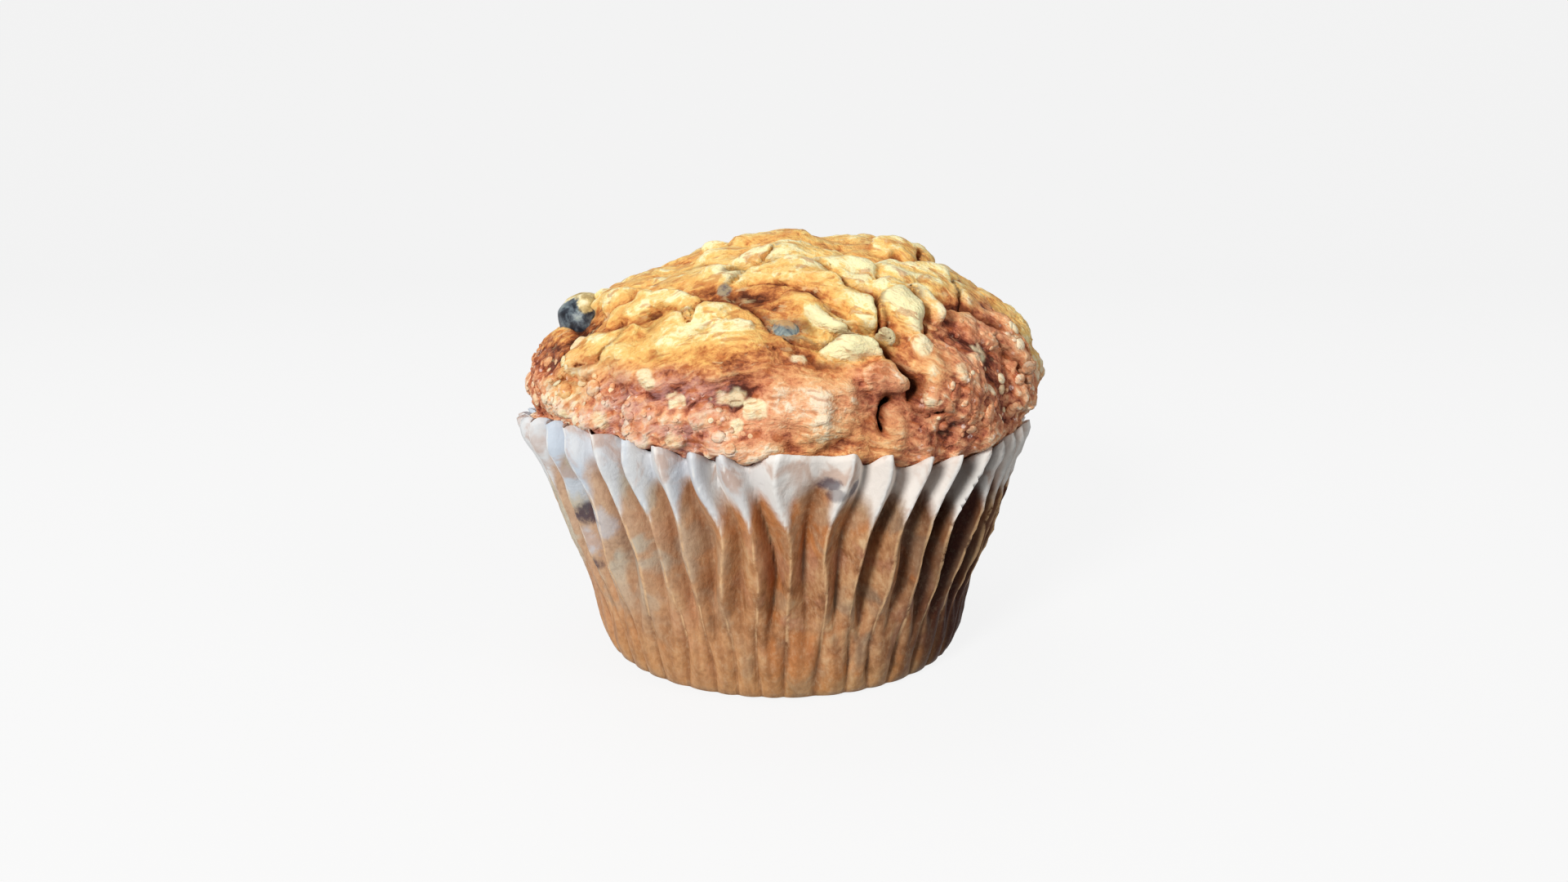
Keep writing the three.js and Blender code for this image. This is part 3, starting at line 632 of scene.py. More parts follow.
class Lump:
    """Ellipsoid that swells out of the crown."""

    def __init__(self, turn, tilt, wide, long, rise, twist, tone):
        point, normal = cap_point(turn, tilt)
        a = math.radians(turn)
        t = math.radians(twist)
        across = np.array([math.cos(a), math.sin(a), 0.0])
        along = np.cross(normal, across)
        self.u = across * math.cos(t) + along * math.sin(t)
        self.v = along * math.cos(t) - across * math.sin(t)
        self.normal = normal
        self.thick = 0.55 * min(wide, long) + 0.5 * rise
        self.lift = rise - self.thick
        self.centre = point + normal * self.lift
        self.wide = wide
        self.long = long
        self.tone = tone

    def distance(self, place):
        arm = place - self.centre
        a = arm @ self.u
        b = arm @ self.v
        c = arm @ self.normal
        parts = np.abs(np.stack([a / self.wide, b / self.long, c / self.thick]))
        near = np.sum(parts ** LUMP_POWER, axis=0) ** (1 / LUMP_POWER) + 1e-9
        sizes = np.array([self.wide, self.long, self.thick]).reshape((3,) + (1,) * (parts.ndim - 1))
        slope = np.sqrt(np.sum(((parts / near) ** (LUMP_POWER - 1) / sizes) ** 2, axis=0))
        return (near - 1) / (slope + 1e-9)


BIG_LUMPS = [Lump(*row) for row in TOP_LUMPS + ARCH_LUMPS + BLOCK_LUMPS + RIGHT_LUMPS + LEFT_LUMPS
             + FRONT_LUMPS + back_lumps()]
BEAD_LUMPS = [Lump(*row) for row in BEADS + back_beads()]


def warp(place):
    """Small shift that keeps the lumps from being plain ellipsoids."""
    x, y, z = place[..., 0], place[..., 1], place[..., 2]
    dx = 0.45 * np.sin(0.52 * y + 0.9 + 1.1 * np.sin(0.31 * z))
    dy = 0.45 * np.sin(0.55 * z + 2.1 + 1.1 * np.sin(0.35 * x))
    dz = 0.40 * np.sin(0.58 * x + 4.0 + 1.1 * np.sin(0.33 * y))
    dx = dx + 0.25 * np.sin(1.13 * z + 0.71 * x + 1.0)
    dy = dy + 0.25 * np.sin(1.07 * x + 0.83 * y + 2.0)
    dz = dz + 0.25 * np.sin(1.21 * y + 0.67 * z + 3.0)
    return place + np.stack([dx, dy, dz], -1)


class Lattice:
    """Repeatable random numbers on a grid, for noise on arrays of points."""

    def __init__(self, seed, cells=32):
        draw = np.random.RandomState(seed)
        self.cells = cells
        self.values = draw.uniform(-1, 1, (cells, cells, cells))
        self.spots = draw.uniform(0.15, 0.85, (cells, cells, cells, 3))

    def soft(self, place, size):
        """Smooth noise from -1 to 1 with features of the given size."""
        at = place / size
        cell = np.floor(at).astype(int)
        t = at - cell
        t = t * t * (3 - 2 * t)
        total = np.zeros(len(place))
        for corner in np.ndindex(2, 2, 2):
            index = (cell + corner) % self.cells
            share = np.prod(np.where(np.array(corner) == 1, t, 1 - t), axis=1)
            total += share * self.values[index[:, 0], index[:, 1], index[:, 2]]
        return total

    def cobbles(self, place, size):
        """1 in the middle of a cobble, 0 in the seams between cobbles."""
        at = place / size
        cell = np.floor(at).astype(int)
        first = np.full(len(place), 9.0)
        second = np.full(len(place), 9.0)
        for shift in np.ndindex(3, 3, 3):
            other = cell + np.array(shift) - 1
            index = other % self.cells
            spot = other + self.spots[index[:, 0], index[:, 1], index[:, 2]]
            away = np.linalg.norm(at - spot, axis=1)
            second = np.minimum(second, np.maximum(first, away))
            first = np.minimum(first, away)
        return np.clip((second - first) * 2.2, 0, 1)


class Block:
    """Regular grid of points that holds the cake's distance field."""

    def __init__(self, low, high, pitch):
        self.low = np.array(low, float)
        self.pitch = pitch
        counts = np.ceil((np.array(high) - self.low) / pitch).astype(int) + 1
        self.axes = [self.low[k] + pitch * np.arange(counts[k]) for k in range(3)]
        self.field = np.zeros(counts, np.float32)

    def window(self, centre, reach):
        """Part of the grid within reach of a point, and its places."""
        cut = tuple(slice(*np.searchsorted(self.axes[k], (centre[k] - reach, centre[k] + reach)))
                    for k in range(3))
        parts = np.meshgrid(*(self.axes[k][cut[k]] for k in range(3)), indexing="ij")
        return cut, np.stack(parts, -1)

    def sample(self, field, place):
        at = (place - self.low) / self.pitch
        top = np.array(field.shape) - 1.001
        at = np.clip(at, 0, top)
        cell = at.astype(int)
        t = at - cell
        total = np.zeros(len(place))
        for corner in np.ndindex(2, 2, 2):
            share = np.prod(np.where(np.array(corner) == 1, t, 1 - t), axis=1)
            total += share * field[tuple((cell + corner).T)]
        return total


def blurred(field, reach):
    """Box blur over reach cells each way."""
    for axis in range(3):
        padded = np.concatenate([np.repeat(field.take([0], axis), reach + 1, axis), field,
                                 np.repeat(field.take([-1], axis), reach, axis)], axis)
        total = np.cumsum(padded, axis, dtype=np.float64)
        size = field.shape[axis]
        high = total.take(range(2 * reach + 1, 2 * reach + 1 + size), axis)
        low = total.take(range(size), axis)
        field = ((high - low) / (2 * reach + 1)).astype(np.float32)
    return field


class Run:
    """One straight stretch of a crack."""

    def __init__(self, first, second):
        (start, start_out), (end, end_out) = cap_point(*first), cap_point(*second)
        self.out = (start_out + end_out) / np.linalg.norm(start_out + end_out)
        self.start = start + start_out * CRACK_TOP
        self.middle = (self.start + end + end_out * CRACK_TOP) / 2
        along = end + end_out * CRACK_TOP - self.start
        along = along - self.out * (along @ self.out)
        self.length = np.linalg.norm(along)
        self.along = along / self.length
        self.side = np.cross(self.out, self.along)

    def away(self, place):
        """How far points are from the crack's middle plane, and how deep they lie."""
        arm = place - self.start
        run = arm @ self.along
        past = run - np.clip(run, 0, self.length)
        return np.sqrt(past ** 2 + (arm @ self.side) ** 2), -(arm @ self.out)


CRACK_RUNS = [(Run(first, second), wide, deep) for path, wide, deep in CRACKS
              for first, second in zip(path[:-1], path[1:])]


def seated(block, point, normal):
    """Outermost point of the crust on the line through a point along a normal."""
    heights = np.arange(-3.0, 6.0, 0.1)
    line = point + normal * heights[:, None]
    return line[np.nonzero(block.sample(block.field, line) < 0)[0][-1]]


def carve_crack(block, run, wide, deep):
    cut, place = block.window(run.middle, run.length / 2 + deep + 3)
    away, sunk = run.away(place)
    taper = np.clip(1 - sunk / (deep + CRACK_TOP), 0.15, 1)
    slot = np.maximum(away - wide * taper, sunk - deep - CRACK_TOP)
    block.field[cut] = smooth_max(block.field[cut], -slot, 0.35)


def cake_block():
    """Distance field of the whole cake: negative inside, positive outside."""
    block = Block(BLOCK_LOW, BLOCK_HIGH, VOXEL)
    place = block.window((0, 0, 30), 90)[1]
    x, y, z = place[..., 0], place[..., 1], place[..., 2]
    theta = np.arctan2(x, -y)
    radius = np.hypot(x, y)
    bent = warp(place)
    r = np.hypot(bent[..., 0], bent[..., 1])
    dz = bent[..., 2] - CAP_Z
    power = cap_power(theta)
    high = np.where(dz > 0, CAP_UP, CAP_DOWN)
    q = ((r / CAP_R) ** power + (np.abs(dz) / high) ** power) ** (1 / power) + 1e-9
    block.field[:] = np.hypot(r, dz) * (1 - 1 / q)
    for lump in BIG_LUMPS:
        part = block.window(lump.centre, max(lump.wide, lump.long) + 4)[0]
        block.field[part] = smooth_min(block.field[part], lump.distance(bent[part]), CREASE)
    turn, tilt, hollow_r, depth = HOLLOW
    point, normal = cap_point(turn, tilt)
    centre = point + normal * (hollow_r - depth + 1.0)
    part, inner = block.window(centre, hollow_r + 3)
    ball = hollow_r - np.linalg.norm(inner - centre, axis=-1)
    block.field[part] = smooth_max(block.field[part], ball, 1.2)
    for run, wide, deep in CRACK_RUNS:
        carve_crack(block, run, wide, deep)
    for lump in BEAD_LUMPS:
        lump.centre = seated(block, lump.centre, lump.normal) + lump.normal * lump.lift
        part, inner = block.window(lump.centre, 5)
        block.field[part] = smooth_min(block.field[part], lump.distance(inner), 0.3)
    folded = folding(theta, np.minimum(z, CASE_H))
    share = np.clip(z / rim_height(theta, folded), 0, 1)
    folded = folding(theta, share * CASE_H)
    rim = rim_height(theta, folded)
    high = np.clip(z, 0, CASE_H * 1.05)
    plain = np.minimum(paper_radius(theta, 0.0, high), paper_radius(theta, 1.0, high)) - HIDDEN_GAP
    pleated = paper_radius(theta, folded, high) - CAKE_GAP
    wall = mix(plain, pleated, step(z, PLAIN_TO, PLEATED_FROM))
    body = smooth_max(radius - wall, z - rim, 0.5)
    field = smooth_min(block.field, body, 1.0)
    bulge = OVERHANG * np.maximum(z - rim + 0.2, 0)
    field = smooth_max(field, radius - wall - bulge, 0.4)
    block.field = np.maximum(field, 0.3 - z).astype(np.float32)
    return block


def new_mesh(name, points, faces):
    """Mesh in metres from points in millimetres and an array of faces with equal corners."""
    corners = faces.shape[1]
    mesh = bpy.data.meshes.new(name)
    mesh.vertices.add(len(points))
    mesh.vertices.foreach_set("co", (points * MM).astype(np.float32).ravel())
    mesh.loops.add(faces.size)
    mesh.loops.foreach_set("vertex_index", faces.astype(np.int32).ravel())
    mesh.polygons.add(len(faces))
    mesh.polygons.foreach_set("loop_start", np.arange(0, faces.size, corners, dtype=np.int32))
    mesh.update(calc_edges=True)
    mesh.validate()
    return mesh


def shade_smooth(mesh):
    mesh.polygons.foreach_set("use_smooth", np.ones(len(mesh.polygons), bool))


def new_piece(name, mesh):
    piece = bpy.data.objects.new(name, mesh)
    bpy.context.scene.collection.objects.link(piece)
    shade_smooth(mesh)
    return piece


def points_of(mesh):
    flat = np.zeros(3 * len(mesh.vertices), np.float32)
    mesh.vertices.foreach_get("co", flat)
    return flat.reshape(-1, 3).astype(float) / MM


def normals_of(mesh):
    flat = np.zeros(3 * len(mesh.vertices), np.float32)
    mesh.vertex_normals.foreach_get("vector", flat)
    return flat.reshape(-1, 3).astype(float)


def set_attribute(mesh, name, values):
    layer = mesh.attributes.new(name, "FLOAT", "POINT")
    layer.data.foreach_set("value", values.astype(np.float32))


def baked_mesh(piece):
    """The piece's mesh with its modifiers applied and removed."""
    bpy.context.view_layer.update()
    graph = bpy.context.evaluated_depsgraph_get()
    mesh = bpy.data.meshes.new_from_object(piece.evaluated_get(graph), depsgraph=graph)
    mesh.name = piece.name
    shade_smooth(mesh)
    piece.modifiers.clear()
    old = piece.data
    piece.data = mesh
    bpy.data.meshes.remove(old)
    return mesh


def step(value, low, high):
    t = np.clip((value - low) / (high - low), 0, 1)
    return t * t * (3 - 2 * t)


LATTICE = Lattice(seed=11)


def crown_angles(place):
    """Turn and tilt of points, in degrees."""
    radius = np.hypot(place[:, 0], place[:, 1])
    turn = np.degrees(np.arctan2(place[:, 0], -place[:, 1]))
    tilt = np.degrees(np.arctan2(radius, place[:, 2] - CAP_Z))
    return turn, tilt


def cobbled(place):
    """Where the crust is cobbled with fine crumbs: low down in front, on the right and behind."""
    turn, tilt = crown_angles(place)
    low = step(tilt, mix(78, 70, step(turn, -36, -54)), 85)
    left = step(turn, 2, -10) * step(turn, -110, -70)
    right = step(turn, 22, 34) * step(turn, 100, 70) * 0.7
    back = step(np.abs(turn), 100, 120) * 0.6
    right_high = step(tilt, 62, 72) * right * 0.8
    return np.clip(low * (left + right + back) + right_high, 0, 1)


def swirled(place, reach, size):
    """Points pushed about by smooth noise, so that folds meander."""
    parts = [LATTICE.soft(place + shift, size) for shift in (1.7, 13.1, 21.9)]
    return place + reach * np.stack(parts, -1)


def arched(x, y, z, bend):
    """Coordinates in which round noise turns into short strokes that arch over the crown."""
    return x * 0.58, y * 0.7, (z + x * x * bend) * 1.2


def crust_folds(place):
    """Height of the crust's small folds, 0 in their sharp valleys."""
    bent = np.stack(arched(*swirled(place, 1.1, 4.0).T, ARCH_BEND), -1)
    layers = ((3.1, 3.0, 1.0), (7.7, 1.5, 0.5), (11.9, 0.8, 0.35))
    return sum(share * np.abs(LATTICE.soft(bent + shift, size)) for shift, size, share in layers)


def roughen(place, normal):
    """Moves the crust's points along their normals, for folds, cobbles and fine crumb."""
    above = step(place[:, 2], ROUGH_FROM, ROUGH_TO)
    folds = crust_folds(place)
    lumpy = LATTICE.soft(place, 2.4)
    fine = LATTICE.soft(place + 5.5, 0.9)
    rough = cobbled(place)
    cobbles = LATTICE.cobbles(place, 2.0)
    small = LATTICE.cobbles(place + 4.0, 1.1)
    tilt = crown_angles(place)[1]
    folded = mix(0.42, 0.62, step(tilt, 58, 72)) * (1 - 0.4 * rough)
    move = folded * (folds - FOLDS_MEAN) + 0.10 * lumpy + 0.08 * fine
    move = move + rough * (0.36 * (cobbles - 0.5) + 0.14 * (small - 0.5))
    return place + normal * (move * above)[:, None]


def paint_crust(mesh, block, shade_depth_field):
    """Stores how baked, how pale, how deep and how stained each point of the crust is; the depth
    and the crack lines carry painted shade.
    """
    place = points_of(mesh)
    turn, tilt = crown_angles(place)
    low = step(tilt, 74, 86)
    right = step(turn, 12, 40) * step(turn, 112, 80)
    base = mix(0.20, -0.14, step(tilt, 48, 84))
    # Painted shade: the right side is darker lower down.
    base = base - 0.22 * right * step(tilt, 60, 80)
    weight = np.full(len(place), 0.35)
    tone = base * 0.35
    bent = warp(place)
    for lump in BIG_LUMPS:
        near = step(lump.distance(bent), 1.3, -0.1)
        weight += near
        tone += near * (0.75 * lump.tone + 0.25 * base)
    tone = tone / weight
    pale = np.zeros(len(place))
    ragged = swirled(place, 0.22, 0.9)
    for lump in BEAD_LUMPS:
        near = step(lump.distance(ragged), 0.28, -0.05)
        pale = np.maximum(pale, near * lump.tone)
    stain = np.zeros(len(place))
    for spot_turn, spot_tilt, reach, strength in JUICE:
        away = np.linalg.norm(place - seated(block, *cap_point(spot_turn, spot_tilt)), axis=1)
        stain = np.maximum(stain, strength * step(away, reach * 1.6, reach * 0.3))
    left = step(turn, 6, -12) * step(turn, -100, -66)
    blush = low * (0.9 * left + 0.85 * right + 0.45)
    blush = np.maximum(blush, 0.8 * right * step(tilt, 60, 72))
    for zone_turn, zone_tilt, wide, high, warmer, rosier in ZONES:
        point, normal = cap_point(zone_turn, zone_tilt)
        a = math.radians(zone_turn)
        across = np.array([math.cos(a), math.sin(a), 0.0])
        arm = bent - point
        near = np.exp(-(arm @ across / wide) ** 2 - (arm @ np.cross(normal, across) / high) ** 2)
        near = near * (np.abs(arm @ normal) < 6)
        tone = tone + warmer * near
        blush = blush + rosier * near
    blush = np.clip(blush, 0, 1)
    # Painted light and shade: paler on the crests of the small folds, darker in their valleys.
    tone = tone + 0.7 * (crust_folds(place) - FOLDS_MEAN)
    # How sunk each point is, for painted shade in hollows and painted light on ridges.
    crease_shade_depth = block.sample(shade_depth_field, place)
    # Painted shade along the cracks, stronger for deeper ones.
    drawn = np.zeros(len(place))
    for run, wide, deep in CRACK_RUNS:
        away, sunk = run.away(bent)
        near = step(away, wide + 0.55, 0.1) * (np.abs(sunk - CRACK_TOP) < 4)
        drawn = np.maximum(drawn, near * min(1.0, 0.35 + 0.4 * deep))
    rough = cobbled(place)
    painted = {
        "drawn": drawn, "tone": tone, "pale": pale, "juice": stain, "blush": blush,
        "hollow": crease_shade_depth, "cobbled": rough * LATTICE.cobbles(place, 1.9), "rough": rough,
    }
    for name, values in painted.items():
        set_attribute(mesh, name, values)


def make_cake():
    """Whole cake: fine crust above the paper, plain body below it."""
    block = cake_block()
    # How sunk the crust is round each place, later painted as shade in hollows and light on ridges.
    capped = np.clip(block.field, -CAVITY_DEEP, CAVITY_DEEP)
    reach = max(1, round(CAVITY_REACH / VOXEL))
    shade_depth_field = 0.6 * blurred(capped, reach) + 0.4 * blurred(capped, 3 * reach)
    grid = vdb.FloatGrid(BAND * VOXEL)
    grid.copyFromArray(np.clip(block.field, -BAND * VOXEL, BAND * VOXEL), tolerance=0)
    grid.transform = vdb.createLinearTransform(voxelSize=VOXEL)
    points, _, quads = grid.convertToPolygons(isovalue=0.0, adaptivity=0.0)
    place = points.astype(float) + block.low
    mesh = new_mesh("cake", place, quads[:, ::-1])
    place = roughen(place, normals_of(mesh))
    mesh.vertices.foreach_set("co", (place * MM).astype(np.float32).ravel())
    piece = new_piece("cake_crust", mesh)
    covered = place[:, 2] < HIDDEN_TO
    hidden = piece.vertex_groups.new(name="under_paper")
    hidden.add(np.nonzero(covered)[0].tolist(), 1.0, "REPLACE")
    thin = piece.modifiers.new("plain_body", "DECIMATE")
    thin.ratio = 1.0 - float(covered.mean()) * (1.0 - HIDDEN_KEPT)
    thin.vertex_group = "under_paper"
    mesh = baked_mesh(piece)
    piece.vertex_groups.clear()
    paint_crust(mesh, block, shade_depth_field)
    return piece


def new_material(name):
    material = bpy.data.materials.new(name)
    material.use_nodes = True
    material.node_tree.nodes.clear()
    return material, Graph(material.node_tree)


def finish_material(graph, inputs):
    """Adds the surface shader with its inputs and joins it to the output."""
    surface = graph.wire("ShaderNodeBsdfPrincipled", None, inputs)
    graph.add("ShaderNodeOutputMaterial", None, {"Surface": surface})


def bumped(graph, height, strength, distance):
    inputs = {"Height": height, "Strength": strength, "Distance": distance * MM}
    return graph.wire("ShaderNodeBump", None, inputs)


def crust_material():
    material, g = new_material("baked_crust")
    place = g.wire("ShaderNodeTexCoord", None, None, "Object")
    tone, pale, juice, blush, hollow, cobbles, rough, drawn = g.attributes(
        "tone", "pale", "juice", "blush", "hollow", "cobbled", "rough", "drawn")
    drift = g.wire("ShaderNodeTexNoise", None, {
        "Vector": place, "Scale": 260.0, "Detail": 2.0}, "Color")
    drift = g.vector("MULTIPLY", g.vector("SUBTRACT", drift, (0.5, 0.5, 0.5)), (2.4 * MM,) * 3)
    side, back, up = g.parts(place)
    flow = g.vector("ADD", g.joined(*arched(side, back, up, ARCH_BEND / MM)), drift)
    streaks = g.noise(flow, 640, 4, 0.62)
    strokes = g.noise(flow, 1000, 2, 0.5, (0.55, 0.8, 1.0), 0.3)
    fine = g.noise(flow, 1500, 3, 0.65)
    patches = g.noise(place, 190, 3, 0.55, (1, 1, 1.3), 0.3)
    speckle = g.noise(place, 2200, 2, 0.6)
    flecks = g.cells(flow, 300)
    # Cells for painted glints.
    glint_cells = g.cells(place, 900)
    level = tone + 0.03 + (streaks - 0.5) * 1.9 + (patches - 0.5) * 1.1 + (fine - 0.5) * 1.4
    level = level + (speckle - 0.5) * 0.8
    # Painted light and shade: paler on ridges, darker in hollows.
    level = level + hollow * 1.6 + (cobbles - 0.35) * rough * 0.6
    level = level + flecks * 0.45 * g.step(patches, 0.42, 0.6)
    place_on = level * 0.5 + 0.5
    baked = g.ramp(place_on, [
        (0.02, (84, 38, 16)),
        (0.20, (150, 82, 42)),
        (0.36, (202, 128, 68)),
        (0.52, (234, 172, 96)),
        (0.68, (243, 194, 112)),
        (0.84, (249, 214, 138)),
        (1.00, (255, 244, 192)),
    ])
    rosy = g.ramp(place_on, [
        (0.02, (84, 34, 22)),
        (0.18, (146, 74, 54)),
        (0.36, (194, 116, 86)),
        (0.54, (228, 151, 114)),
        (0.72, (244, 182, 142)),
        (0.92, (252, 226, 200)),
    ])
    sugared = g.step(side, -3 * MM, -11 * MM) * g.step(side, -31 * MM, -24 * MM)
    sugared = sugared * g.step(streaks, 0.4, 0.6)
    # Painted glints: small pale spots scattered over the cobbled crust.
    scattered_glints = glint_cells * g.step(rough, 0.3, 0.8) * g.step(speckle, 0.42, 0.62)
    cream = g.blend(g.step(fine, 0.3, 0.55), (238, 202, 150), (255, 242, 200))
    stained = g.blend(g.step(fine, 0.35, 0.55), (84, 88, 100), (164, 154, 128))
    spread = g.step(juice + (patches - 0.5) * 0.9 + (fine - 0.5) * 0.6, 0.25, 0.7)
    colour = g.layered(baked, [
        (blush * 0.85, g.blend(sugared * 0.5, rosy, (206, 166, 168))),
        (g.step(strokes, 0.43, 0.35) * 0.5, (186, 98, 44)),
        (g.step(strokes, 0.60, 0.70) * mix(0.4, 0.1, blush), (255, 232, 176)),
        (scattered_glints * 0.6, (250, 232, 224)),
        # Painted shade along the cracks.
        (drawn * g.step(fine, 0.3, 0.5) * 0.75, (122, 62, 26)),
        # Painted shade in the deepest hollows.
        (g.step(hollow, -0.14, -0.62) * 0.8, (74, 34, 16)),
        (g.step(pale, 0.0, 1.05) * 0.92, cream),
        (spread * g.step(juice, 0.0, 0.15) * 0.85, stained),
    ])
    relief = speckle * 0.4 + streaks * 0.9 + fine * 0.9 + strokes * 0.8 + flecks * 0.25
    finish_material(g, {
        "Base Color": colour,
        "Roughness": mix(0.74, 0.54, g.step(streaks, 0.42, 0.62)),
        "Normal": bumped(g, relief, 0.7, 0.5),
        "Subsurface Weight": 0.06,
        "Subsurface Radius": (1.0, 0.5, 0.25),
        "Subsurface Scale": 1.0 * MM,
        "Specular IOR Level": 0.22,
    })
    return material


def new_tree(name, inputs):
    """Geometry Nodes tree with named inputs: its graph, their wires and their identifiers."""
    tree = bpy.data.node_groups.new(name, "GeometryNodeTree")
    tree.interface.new_socket(name="Geometry", in_out="OUTPUT", socket_type="NodeSocketGeometry")
    named = {}
    for label, kind in inputs.items():
        kind = "NodeSocket" + kind
        socket = tree.interface.new_socket(name=label, in_out="INPUT", socket_type=kind)
        named[label] = socket.identifier
    g = Graph(tree)
    given = g.add("NodeGroupInput")
    return g, [Wire(g, given.outputs[label]) for label in inputs], named


def store(g, geometry, values):
    """Keeps values on a geometry's points, each under its own name."""
    settings = {"data_type": "FLOAT", "domain": "POINT"}
    for name, value in values.items():
        inputs = {"Geometry": geometry, "Name": name, "Value": value}
        geometry = g.wire("GeometryNodeStoreNamedAttribute", settings, inputs)
    return geometry


def end_tree(g, geometry, material):
    """Makes instances real and sets the material, at the end of a tree."""
    geometry = g.wire("GeometryNodeRealizeInstances", None, {"Geometry": geometry})
    geometry = g.wire("GeometryNodeSetMaterial", None, {"Geometry": geometry, "Material": material})
    g.add("NodeGroupOutput", None, {0: geometry})


def add_tree(piece, g, named, sizes):
    """Puts a tree on a piece, with its inputs set by their identifiers."""
    maker = piece.modifiers.new(g.tree.name, "NODES")
    maker.node_group = g.tree
    for label, value in sizes.items():
        maker[named[label]] = value


def pearl_tree(material):
    """Small grains of dough baked into the crust, each a low dome sunk into it."""
    g, (crust, density, size), named = new_tree(
        "dough_grains", {"Geometry": "Geometry", "Density": "Float", "Size": "Float"})

    def drawn(low, high, seed):
        inputs = {2: low, 3: high, "Seed": seed}
        return g.wire("FunctionNodeRandomValue", {"data_type": "FLOAT"}, inputs, 1)

    rough, pale, baked = (
        g.wire("GeometryNodeInputNamedAttribute", {"data_type": "FLOAT"}, {"Name": name})
        for name in ("rough", "pale", "tone"))
    height = g.parts(g.wire("GeometryNodeInputPosition"))[2]
    above = g.step(height, GRAINS_FROM * MM, GRAINS_TO * MM)
    scatter = g.add("GeometryNodeDistributePointsOnFaces", {"distribute_method": "RANDOM"}, {
        "Mesh": crust,
        "Density": density * above * g.step(rough, 0.3, 0.8) * g.step(pale, 0.2, 0.05),
        "Seed": 7,
    })
    tint = drawn(0.0, 1.0, 9)
    points = store(g, Wire(g, scatter.outputs["Points"]), {
        "pale": (tint - 0.72) * 2.4, "tone": baked + tint * 0.7})
    grain = g.wire("GeometryNodeMeshIcoSphere", None, {"Radius": 1.0, "Subdivisions": 2})
    wide = size * (drawn(0.0, 1.0, 4) ** 3 * 1.3 + 0.5)
    roll = g.wire("FunctionNodeRandomValue", {"data_type": "FLOAT_VECTOR"}, {
        0: (-0.2, -0.2, 0.0), 1: (0.2, 0.2, TAU), "Seed": 3}, 0)
    turned = g.wire("FunctionNodeRotateEuler", {"rotation_type": "EULER", "space": "LOCAL"}, {
        "Rotation": Wire(g, scatter.outputs["Rotation"]), "Rotate By": roll})
    end_tree(g, g.wire("GeometryNodeInstanceOnPoints", None, {
        "Points": points,
        "Instance": grain,
        "Rotation": turned,
        "Scale": g.joined(wide, wide * drawn(0.7, 1.25, 5), wide * 0.4),
    }), material)
    return g, named


def make_pearls(crust, material):
    g, named = pearl_tree(material)
    piece = new_piece("dough_grains", crust.data.copy())
    piece.data.materials.clear()
    add_tree(piece, g, named, {"Density": GRAINS_PER_MM2 / MM ** 2, "Size": GRAIN_R * MM})
    baked_mesh(piece)
    return piece


def paper_tree(material):
    """Pleated case: a sheet of columns and rows shaped by the pleat rule."""
    g, (columns, rows, floor_share), named = new_tree(
        "pleated_case", {"Columns": "Int", "Rows": "Int", "Floor share": "Float"})
    sheet = g.wire("GeometryNodeMeshGrid", None, {
        "Size X": 1.0, "Size Y": 1.0, "Vertices X": columns, "Vertices Y": rows})
    across, along = g.parts(g.wire("GeometryNodeInputPosition"))[:2]
    up = along + 0.5
    theta = (across + 0.5) * TAU
    share = ((up - floor_share) / (1.0 - floor_share)).math("MAXIMUM", 0.0)
    spread = (up / floor_share).math("MINIMUM", 1.0)
    folded = folding(theta, share * CASE_H)
    z = share * rim_height(theta, folded)
    radius = paper_radius(theta, folded, z) * spread
    east = sine(theta)
    north = sine(theta - math.pi / 2)
    drawn = g.joined(radius * east, radius * north, z)
    crumple = g.noise(drawn, 0.42, 2, 0.5, (1, 1, 0.3)) - 0.5
    wave = g.noise(drawn, 0.8, 2, 0.5, (1, 1, 0.8)) - 0.5
    wall = g.step(share, 0.0, 0.15)
    lobes = swell(theta, -66, 40) * 1.4 + 0.25
    curl = (share ** 12) * (1.0 - folded) * (g.noise(drawn, 0.16, 1) - 0.25) * lobes
    radius = radius + (crumple * 0.8 + wave * 0.3) * wall * (1.0 - share ** 8 * 0.6) + curl
    height = z + crumple * 0.7 * share ** 8
    place = g.joined(radius * east * MM, radius * north * MM, height * MM)
    sheet = store(g, sheet, {"fold": folded, "share": share, "spread": spread})
    sheet = g.wire("GeometryNodeSetPosition", None, {"Geometry": sheet, "Position": place})
    sheet = g.wire("GeometryNodeMergeByDistance", None, {"Geometry": sheet, "Distance": 0.01 * MM})
    end_tree(g, sheet, material)
    return g, named


def make_paper(material):
    g, named = paper_tree(material)
    piece = new_piece("paper_case_sheet", bpy.data.meshes.new("paper_case"))
    add_tree(piece, g, named, {
        "Columns": PLEATS * PAPER_COLUMNS + 1, "Rows": PAPER_ROWS, "Floor share": FLOOR_SHARE})
    wall = piece.modifiers.new("thickness", "SOLIDIFY")
    wall.thickness = PAPER_T * MM
    wall.offset = -1.0
    baked_mesh(piece)
    return piece


def spot_mask(g, place, spots, soften):
    """Soft patches on the wall of the case, each a stretched ball round one point."""
    total = None
    for turn, z, wide, high, strength in spots:
        a = math.radians(turn)
        r = float(paper_radius(np.float64(a), np.float64(0.3), np.float64(z)))
        centre = (r * math.sin(a) * MM, -r * math.cos(a) * MM, z * MM)
        arm = g.vector("SUBTRACT", place, centre)
        arm = g.vector("DIVIDE", arm, (wide * MM, wide * MM, high * MM))
        away = g.vector("LENGTH", arm, output="Value")
        mask = g.step(away + soften, 1.35, 0.7) * strength
        total = mask if total is None else total.math("MAXIMUM", mask)
    return total


